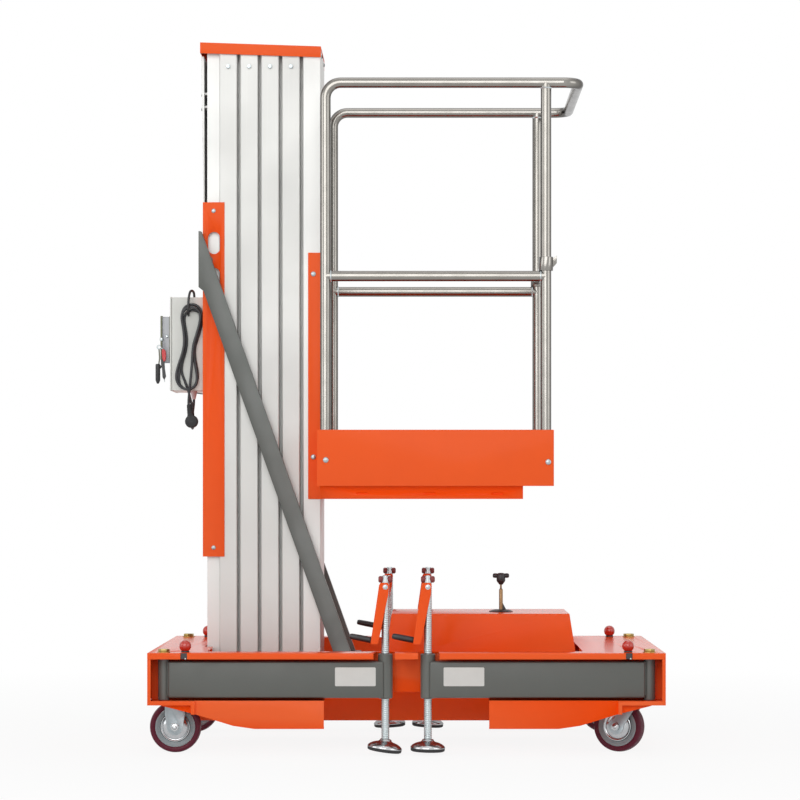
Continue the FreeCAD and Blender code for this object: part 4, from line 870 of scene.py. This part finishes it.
boltRows = {
    # name: body, slot and finish, head radius, the axis they point along, where each head sits
    "toeBoardBolts": (
        "platform", zinc, 0.0078, "Y",
        [(x, side * 0.317, z) for side in bothSides for x, z in ((-0.2114, 0.7629), (0.3693, 0.7576))],
    ),
    "bracketBolts": (
        "platform", zinc, 0.0070, "Y",
        [(-0.2517, side * 0.124, z) for side in bothSides for z in (0.7727, 1.2627)],
    ),
    "channelBolts": (
        "chassis", zinc, 0.0060, "Y",
        [(-0.5190, side * 0.123, z) for side in bothSides for z in (0.5300, 1.4320)],
    ),
    "guardScrews": (
        "chassis", blackPlastic, 0.0048, "X",
        [(-0.5528, side * 0.075, z) for side in bothSides for z in (1.7093, 1.7474)],
    ),
    "headBolts": (
        "platform", blackPlastic, 0.0052, "X", [(-0.2315, side * 0.075, 1.8515) for side in bothSides],
    ),
}
mastMiddle = -0.3  # heads that point along X face away from here
for name, (body, look, radius, axis, places) in boltRows.items():
    bm = bmesh.new()
    for spot in places:
        if axis == "Y":
            outward = placed(spot, -90 if spot[1] > 0 else 90, "X")
        else:
            outward = placed(spot, -90 if spot[0] < mastMiddle else 90, "Y")
        domeHead(bm, outward, radius, radius * 0.55)
    finishPiece(name, bm, body, *look, smooth=50)

sheaveBolt = {
    "firstX": -0.480, "pitch": 0.056, "face": 0.1225, "z": 1.819, "across": 0.0108, "height": 0.0036,
}
for number, body in enumerate(("chassis", "mast_2", "mast_3", "mast_4")):
    bm = bmesh.new()
    for side in bothSides:
        x = sheaveBolt["firstX"] + number * sheaveBolt["pitch"]
        spot = (x, side * sheaveBolt["face"], sheaveBolt["z"])
        hexHead(bm, placed(spot, -90 * side, "X"), sheaveBolt["across"], sheaveBolt["height"])
    finishPiece(f"sheaveBolts_{number + 1}", bm, body, *cutZinc, smooth=30)

rail = {"radius": 0.01375, "posts": (-0.213, 0.364), "y": 0.300, "mid": 1.244, "top": 1.750, "sunk": 0.001}
inner = rail["radius"] - rail["sunk"]
bead = [(inner, -0.001), (rail["radius"] + 0.0022, 0), (rail["radius"] + 0.0004, 0.0034), (inner, 0.0036)]
bm = bmesh.new()
for side in bothSides:
    for postX, along in zip(rail["posts"], (1, -1)):
        start = placed((postX + along * inner, side * rail["y"], rail["mid"]), 90 * along, "Y")
        addTurned(bm, bead, 32, start, closed=True)
    start = placed((rail["posts"][1], side * rail["y"], rail["top"] - inner), 180, "X")
    addTurned(bm, bead, 32, start, closed=True)
finishPiece("railWelds", bm, "platform", "stainless", "threadZinc", smooth=60)

tread = {
    "low": (-0.190, -0.277), "high": (0.341, 0.277), "z": 0.700, "pitch": 0.0265, "half": (0.0115, 0.0040),
    "rise": 0.0012, "crown": 0.72,
}
bm = bmesh.new()
columns, rows = (int((high - low) / tread["pitch"]) for low, high in zip(tread["low"], tread["high"]))
for column in range(columns + 1):
    for row in range(rows + 1):
        spot = (
            tread["low"][0] + column * tread["pitch"], tread["low"][1] + row * tread["pitch"],
            tread["z"] + tread["rise"] / 2,
        )
        turn = placed(spot, 45 if (column + row) % 2 else -45, "Z")
        bmesh.ops.create_cone(
            bm, cap_ends=True, segments=4, radius1=1.0, radius2=tread["crown"], depth=tread["rise"],
            matrix=turn @ Matrix.Diagonal((*tread["half"], 1, 1)),
        )
finishPiece("treadPattern", bm, "platform", *orange, smooth=30)

# Inside each end the shelf and the web run on to the end plate, so no light shows past the pivots
shelfEnd = {
    "edge": ((0.545, 0.346, 0.1385), (0.664, 0.360, 0.1415)),
    "corner": ((0.636, 0.290, 0.1385), (0.664, 0.346, 0.1415)),
    "web": ((0.545, 0.346, 0.1415), (0.664, 0.349, 0.2620)),
}
bm = bmesh.new()
for xSide, ySide in corners.values():
    mirror = Vector((xSide, ySide, 1))
    for low, high in shelfEnd.values():
        addBox(bm, mirror * Vector(low), mirror * Vector(high))
finishPiece("shelfEdges", bm, "chassis", *orange, bevel=0.0005)
print("small fittings ready")

# Control box: sheet body, door, hook, cord gland, and the hood over its switches

box = {
    "left": -0.638, "right": -0.548, "half": 0.100, "low": 0.952, "high": 1.202, "door": 0.004,
    "seam": 0.0003, "round": 0.003, "over": 0.001, "wire": 0.0032,
    "hook": [
        (-0.573, -0.092, 1.194), (-0.573, -0.092, 1.206), (-0.575, -0.096, 1.219), (-0.582, -0.120, 1.219),
        (-0.586, -0.1275, 1.196), (-0.587, -0.1275, 1.158), (-0.587, -0.106, 1.153),
    ],
    "latchY": 0.078, "latches": (1.000, 1.180),
}
onDoor = Matrix.Rotation(math.radians(-90), 4, "Y")
bm = bmesh.new()
addBox(
    bm, (box["left"] + box["door"] + box["seam"], -box["half"], box["low"]),
    (box["right"], box["half"], box["high"]),
)
upright = [e for e in bm.edges if abs(e.verts[0].co.z - e.verts[1].co.z) > box["half"]]
roundEdges(bm, upright, box["round"])
finishPiece("boxBody", bm, "chassis", *boxPaint, bevel=0.0008, replaces=("control_box",))
bm = bmesh.new()
addBox(
    bm, (box["left"], -box["half"] - box["over"], box["low"] - box["over"]),
    (box["left"] + box["door"], box["half"] + box["over"], box["high"] + box["over"]),
)
finishPiece("boxDoor", bm, "chassis", *boxPaint, bevel=0.0010)
bm = bmesh.new()
latch = [
    (0, 0), (0.0085, 0), (0.0085, 0.0016), (0.0070, 0.0028), (0.0032, 0.0028), (0.0028, 0.0012),
    (0, 0.0012),
]
for z in box["latches"]:
    addTurned(bm, latch, 32, placed((box["left"], box["latchY"], z)) @ onDoor)
finishPiece("boxLatches", bm, "chassis", *zinc, smooth=40)

gland = {
    "at": (-0.577, -0.060), "across": 0.0175, "height": 0.0050, "boot": 0.0080, "rings": 4, "taper": 0.0007,
    "pitch": 0.0030, "end": 0.0230,
}
glandPlace = placed((*gland["at"], box["low"]), 180, "X")
bm = bmesh.new()
hexHead(bm, glandPlace, gland["across"], gland["height"])
radius, end = gland["boot"], gland["end"]
boot = [(0, 0.0045), (radius, 0.0045), (radius - 0.0002, 0.0080)]
for k in range(1, gland["rings"] + 1):
    boot.append((radius - 0.0002 - k * gland["taper"], 0.0085 + k * gland["pitch"]))
boot += [(0.0042, end - 0.0005), (0.0036, end), (0, end)]
addTurned(bm, boot, 32, glandPlace)
finishPiece("cordGland", bm, "chassis", "light_grey_paint", "pinkNylon", smooth=40)
bracket = {"start": (-0.569, -0.060, 0.9458), "end": (-0.5475, -0.060, 0.9430), "radius": 0.0015}
bm = bmesh.new()
addRod(bm, bracket["start"], bracket["end"], bracket["radius"], segments=12)
finishPiece("boxBracket", bm, "chassis", *blackPlastic)

hood = {
    "left": -0.663, "right": -0.638, "y": (-0.062, 0.018), "z": (1.030, 1.152), "lip": 0.0022,
    "flange": 0.0060,
}
finishPiece(
    "switchHood", fromFrame("switch_cover"), "chassis", "hood_grey", "smokyAcrylic", bevel=0.0006,
    replaces=("switch_cover",),
)
bm = bmesh.new()
low, high = hood["z"]
edgeX = (hood["left"] - 0.004, hood["left"] + 0.001)
rootX = (hood["right"] - 0.0045, hood["right"] - 0.0002)
for y, outward in zip(hood["y"], bothSides):
    addBox(bm, (edgeX[0], y, low + 0.005), (edgeX[1], y + outward * hood["lip"], high + 0.001))
    addBox(bm, (rootX[0], y, low + 0.003), (rootX[1], y + outward * hood["flange"], high + 0.001))
addBox(
    bm, (edgeX[0], hood["y"][0] - hood["lip"], high), (edgeX[1], hood["y"][1] + hood["lip"], high + 0.0020),
)
finishPiece("hoodEdging", bm, "chassis", "hood_grey", "oliveRubber", bevel=0.0006)

# Switches under the hood: one mushroom button and one lock, both on the door
switches = {"button": (-0.022, 1.112), "lock": (-0.022, 1.065)}
buttonPlace, lockPlace = (placed((hood["right"], *spot)) @ onDoor for spot in switches.values())
mushroom = [
    (0, 0.006), (0.0060, 0.006), (0.0065, 0.012), (0.0135, 0.0140), (0.0145, 0.0165), (0.0125, 0.0190),
    (0.0070, 0.0205), (0, 0.0208),
]
turnedPiece("stopButton", mushroom, 36, buttonPlace, "chassis", *redKnob, smooth=50)
collar = [(0, 0), (0.0150, 0), (0.0150, 0.0030), (0.0125, 0.0060), (0.0080, 0.0062), (0, 0.0062)]
bm = bmesh.new()
for place in (buttonPlace, lockPlace):
    addTurned(bm, collar, 36, place)
finishPiece("switchCollars", bm, "chassis", *blackPlastic, smooth=40)
bm = bmesh.new()
barrel = [(0, 0.006), (0.0078, 0.006), (0.0078, 0.0120), (0.0068, 0.0132), (0, 0.0132)]
addTurned(bm, barrel, 32, lockPlace)
slotX, (slotY, slotZ) = (hood["right"] - 0.0140, hood["right"] - 0.0128), switches["lock"]
addBox(bm, (slotX[0], slotY - 0.0006, slotZ - 0.0040), (slotX[1], slotY + 0.0006, slotZ + 0.0040))
finishPiece("lockBarrel", bm, "chassis", *zinc, smooth=40)

# Spare key, ring and fob on the near side of the hood
keySet = {
    "y": -0.0640, "thick": 0.0065,
    "bow": [
        (-0.6623, 1.0639), (-0.6574, 1.0645), (-0.6528, 1.0598), (-0.6512, 1.0492), (-0.6520, 1.0345),
        (-0.6574, 1.0296), (-0.6610, 1.0377), (-0.6629, 1.0525),
    ],
    "sleeve": [
        (-0.6655, 1.0369), (-0.6557, 1.0353), (-0.6547, 1.0116), (-0.6515, 0.9903), (-0.6564, 0.9813),
        (-0.6610, 0.9887), (-0.6623, 1.0116), (-0.6650, 1.0230),
    ],
    "ring": (-0.6708, 1.0697), "link": [(-0.6705, 1.0640), (-0.6690, 1.0400), (-0.6715, 1.0200)],
    "linkRadius": 0.0018, "ringRadius": 0.0048, "ringWire": 0.0015,
    "fob": (-0.6735, 1.0245), "fobRadius": 0.0065, "fobLength": 0.0540,
    "rivets": [(-0.6640, 1.0910, 0.0052), (-0.6495, 1.0983, 0.0036)],
    # both ends and radii of the fob's arm, of the pin from ring to bow, and of the key's tip
    "arm": ((-0.6715, 1.0185), (-0.6640, 1.0150), 0.0040, 0.0040),
    "pin": ((-0.6658, 1.0687), (-0.6600, 1.0620), 0.0011, 0.0011),
    "tip": ((-0.6564, 0.9830), (-0.6552, 0.9748), 0.0014, 0.0006),
}
keyY = keySet["y"]
wireY = keyY - 0.003


def addWire(bm, start, end, radius, endRadius, segments):
    addRod(bm, (start[0], wireY, start[1]), (end[0], wireY, end[1]), radius, endRadius, segments=segments)


bm = bmesh.new()
addPlate(bm, [(x, keyY - 0.0005, z) for x, z in keySet["bow"]], (0, -keySet["thick"] - 0.001, 0))
finishPiece("keyBow", bm, "chassis", "red_knob", "redVinyl", bevel=0.0016)
bm = bmesh.new()
addPlate(bm, [(x, keyY, z) for x, z in keySet["sleeve"]], (0, -keySet["thick"], 0))
fobX, fobZ = keySet["fob"]
radius, length = keySet["fobRadius"], keySet["fobLength"]
fob = [(0, 0), (0.0045, 0), (radius, 0.002), (radius, length * 0.82), (0.0030, length - 0.001), (0, length)]
addTurned(bm, fob, 24, placed((fobX, keyY - 0.004, fobZ), 180, "X"))
addWire(bm, *keySet["arm"], 16)
finishPiece("keyFob", bm, "chassis", *blackPlastic, bevel=0.0010)
bm = bmesh.new()
ringX, ringZ = keySet["ring"]
radius, thick = keySet["ringRadius"], keySet["ringWire"]
rounds = [math.radians(45 * k) for k in range(8)]
wire = [(radius + thick * math.cos(a), thick * math.sin(a)) for a in rounds]
addTurned(bm, wire, 32, placed((ringX, wireY, ringZ), 90, "X"), closed=True)
addWire(bm, *keySet["pin"], 10)
addWire(bm, *keySet["tip"], 12)
for x, z, radius in keySet["rivets"]:
    rivet = [(0, 0), (radius, 0), (radius, 0.0035), (radius * 0.7, 0.0055), (0, 0.0060)]
    addTurned(bm, rivet, 24, placed((x, hood["y"][0], z), 90, "X"))
finishPiece("keyRing", bm, "chassis", *cutZinc, smooth=50)
bm = bmesh.new()
for start, end in zip(keySet["link"], keySet["link"][1:]):
    addWire(bm, start, end, keySet["linkRadius"], keySet["linkRadius"], 12)
finishPiece("keyStrap", bm, "chassis", "cord_rubber", "oliveRubber", smooth=50)

# Supply cord, hung in a hank beside the control box

cordRun = {
    "diameter": 0.007,
    "exit": (-0.577, -0.060, 0.930),
    "lead": [
        (-0.577, -0.0600, 0.9300), (-0.577, -0.0600, 0.9231), (-0.578, -0.0564, 0.9131),
        (-0.580, -0.0475, 0.9026), (-0.582, -0.0388, 0.8922), (-0.583, -0.0361, 0.8769),
        (-0.583, -0.0414, 0.8623), (-0.582, -0.0533, 0.8523), (-0.580, -0.0686, 0.8496),
        (-0.578, -0.0832, 0.8549), (-0.576, -0.0932, 0.8668), (-0.576, -0.0965, 0.8860),
        (-0.578, -0.0990, 0.9080), (-0.583, -0.1028, 0.9280), (-0.588, -0.1045, 0.9510),
        (-0.597, -0.1045, 0.9750), (-0.607, -0.1045, 1.0000),
    ],
    # One turn round the hank, from its lower left up, over the hook and down again: X, Z
    "turn": [
        (-0.6205, 0.979), (-0.6190, 0.999), (-0.6125, 1.020), (-0.6045, 1.042), (-0.5985, 1.064),
        (-0.5965, 1.090), (-0.5990, 1.118), (-0.6035, 1.142), (-0.6044, 1.1575), (-0.6009, 1.1707),
        (-0.5912, 1.1804), (-0.5780, 1.1839), (-0.5648, 1.1804), (-0.5551, 1.1707), (-0.5516, 1.1575),
        (-0.5530, 1.142), (-0.5580, 1.120), (-0.5650, 1.096), (-0.5725, 1.070), (-0.5740, 1.045),
        (-0.5685, 1.018), (-0.5640, 0.998), (-0.5635, 0.979),
    ],
    "foot": [(-0.5673, 0.9648), (-0.5778, 0.9543), (-0.5920, 0.9505), (-0.6063, 0.9543), (-0.6167, 0.9648)],
    # Each turn: its layer and shift, how far its top hangs lower and its foot stands higher, the width of the
    # turn and of its lower lobe, and the lobe's lean. Nothing ties the turns, so they fan out.
    "turns": [
        {"y": -0.1045, "dx": 0.0035, "top": -0.016, "low": 0.005, "across": 0.92, "lobe": 0.86, "lean": 0},
        {"y": -0.1118, "dx": 0, "top": -0.001, "low": 0, "across": 1, "lobe": 0.86, "lean": 0.002},
        {"y": -0.1190, "dx": -0.0015, "top": -0.009, "low": 0.006, "across": 0.96, "lobe": 0.94, "lean": 0},
    ],
    "tail": [
        (-0.5765, -0.1195, 1.035), (-0.5790, -0.1195, 1.000), (-0.5825, -0.1185, 0.968),
        (-0.5855, -0.1145, 0.940), (-0.587, -0.1115, 0.922), (-0.587, -0.1103, 0.912),
    ],
}
lobeStart, lobeFull = 1.045, 1.000
hankMiddle, hankReach = (-0.585, 1.067), 0.115
leadJoins, tailLeaves = 2, 19  # where in a turn the lead comes in and the tail goes off


def turnPoint(x, z, turn):
    reach = (z - hankMiddle[1]) / hankReach
    lift = turn["top"] * max(reach, 0) + turn["low"] * max(-reach, 0)
    inLobe = min(max((lobeStart - z) / (lobeStart - lobeFull), 0), 1)
    across = turn["across"] + (turn["lobe"] - turn["across"]) * inLobe
    shift = turn["dx"] + turn["lean"] * inLobe
    return (hankMiddle[0] + (x - hankMiddle[0]) * across + shift, turn["y"], z + lift)


cordPoints = list(cordRun["lead"])
lastTurn = len(cordRun["turns"]) - 1
for count, turn in enumerate(cordRun["turns"]):
    first = leadJoins if count == 0 else 0
    last = tailLeaves if count == lastTurn else len(cordRun["turn"])
    cordPoints += [turnPoint(x, z, turn) for x, z in cordRun["turn"][first:last]]
    if count < lastTurn:
        after = cordRun["turns"][count + 1]
        for number, (x, z) in enumerate(cordRun["foot"]):
            share = (number + 1) / (len(cordRun["foot"]) + 1)
            between = {key: turn[key] + share * (after[key] - turn[key]) for key in turn}
            cordPoints.append(turnPoint(x, z, between))
cordPoints += cordRun["tail"]


def makeCord(name, points, diameter):
    curve = bpy.data.curves.new(name, "CURVE")
    curve.dimensions = "3D"
    curve.resolution_u = 12
    curve.bevel_depth = diameter / 2
    curve.bevel_resolution = 6
    curve.use_fill_caps = True
    line = curve.splines.new("NURBS")
    line.points.add(len(points) - 1)
    for place, point in zip(line.points, points):
        place.co = (*point, 1.0)
    line.order_u = 3
    line.use_endpoint_u = True
    piece = bpy.data.objects.new(name, curve)
    scene.collection.objects.link(piece)
    curve.materials.append(finishes["cordPvc"])
    return piece


bent = makeCord("bentWire", box["hook"], 2 * box["wire"])
bm = bmesh.new()
bm.from_mesh(bpy.data.meshes.new_from_object(bent))
bpy.data.objects.remove(bent)
finishPiece("boxHook", bm, "chassis", *blackPlastic, smooth=60)
print("control box ready")

supplyCord = makeCord("supplyCord", cordPoints, cordRun["diameter"])
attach(supplyCord, "chassis")
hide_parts("cord_lead", "cord_hank", "cord_tail")

plug = {
    "body": (-0.579, -0.1103, 0.868), "radius": 0.0174, "thick": 0.024, "neckTop": (-0.587, -0.1103, 0.914),
    "ribs": 6, "ribPitch": 0.0042, "pinSpread": 0.0095, "pinRadius": 0.0024, "pinLength": 0.017,
}
bm = bmesh.new()
half, rim = plug["thick"] / 2, plug["radius"]
profile = [
    (0, -half), (rim - 0.004, -half), (rim - 0.001, -half + 0.002), (rim, -half + 0.006),
    (rim, half - 0.004), (rim - 0.0015, half - 0.001), (rim - 0.003, half), (0, half),
]
addTurned(bm, profile, 40, placed(plug["body"], -90, "X"))
place, length = facing(plug["neckTop"], plug["body"])
sleeve = [(0, 0), (0.0046, 0)]
for k in range(plug["ribs"]):  # the strain relief widens from rib to rib
    z = 0.002 + k * plug["ribPitch"]
    root, crest = 0.0050 + k * 0.0005, 0.0058 + k * 0.0005
    sleeve += [(root, z), (crest, z + 0.0012), (crest, z + 0.0026), (root, z + 0.0036)]
sleeve += [(0.0092, 0.030), (0.0105, length), (0, length)]
addTurned(bm, sleeve, 28, place)
plugBody = finishPiece(
    "plugBody", bm, "chassis", "cord_rubber", "blackRubber", smooth=50, replaces=("cord_plug",),
)
bm = bmesh.new()
plugX, plugY, plugZ = plug["body"]
radius, endY = plug["pinRadius"], plugY + half + plug["pinLength"]
for side in bothSides:
    x = plugX + side * plug["pinSpread"]
    addRod(bm, (x, plugY + half - 0.001, plugZ), (x, endY, plugZ), radius, segments=20)
    addRod(bm, (x, endY, plugZ), (x, endY + 0.002, plugZ), radius, radius - 0.001, segments=20)
plugPins = finishPiece("plugPins", bm, "chassis", *chrome)
print("supply cord ready")

low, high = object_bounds()
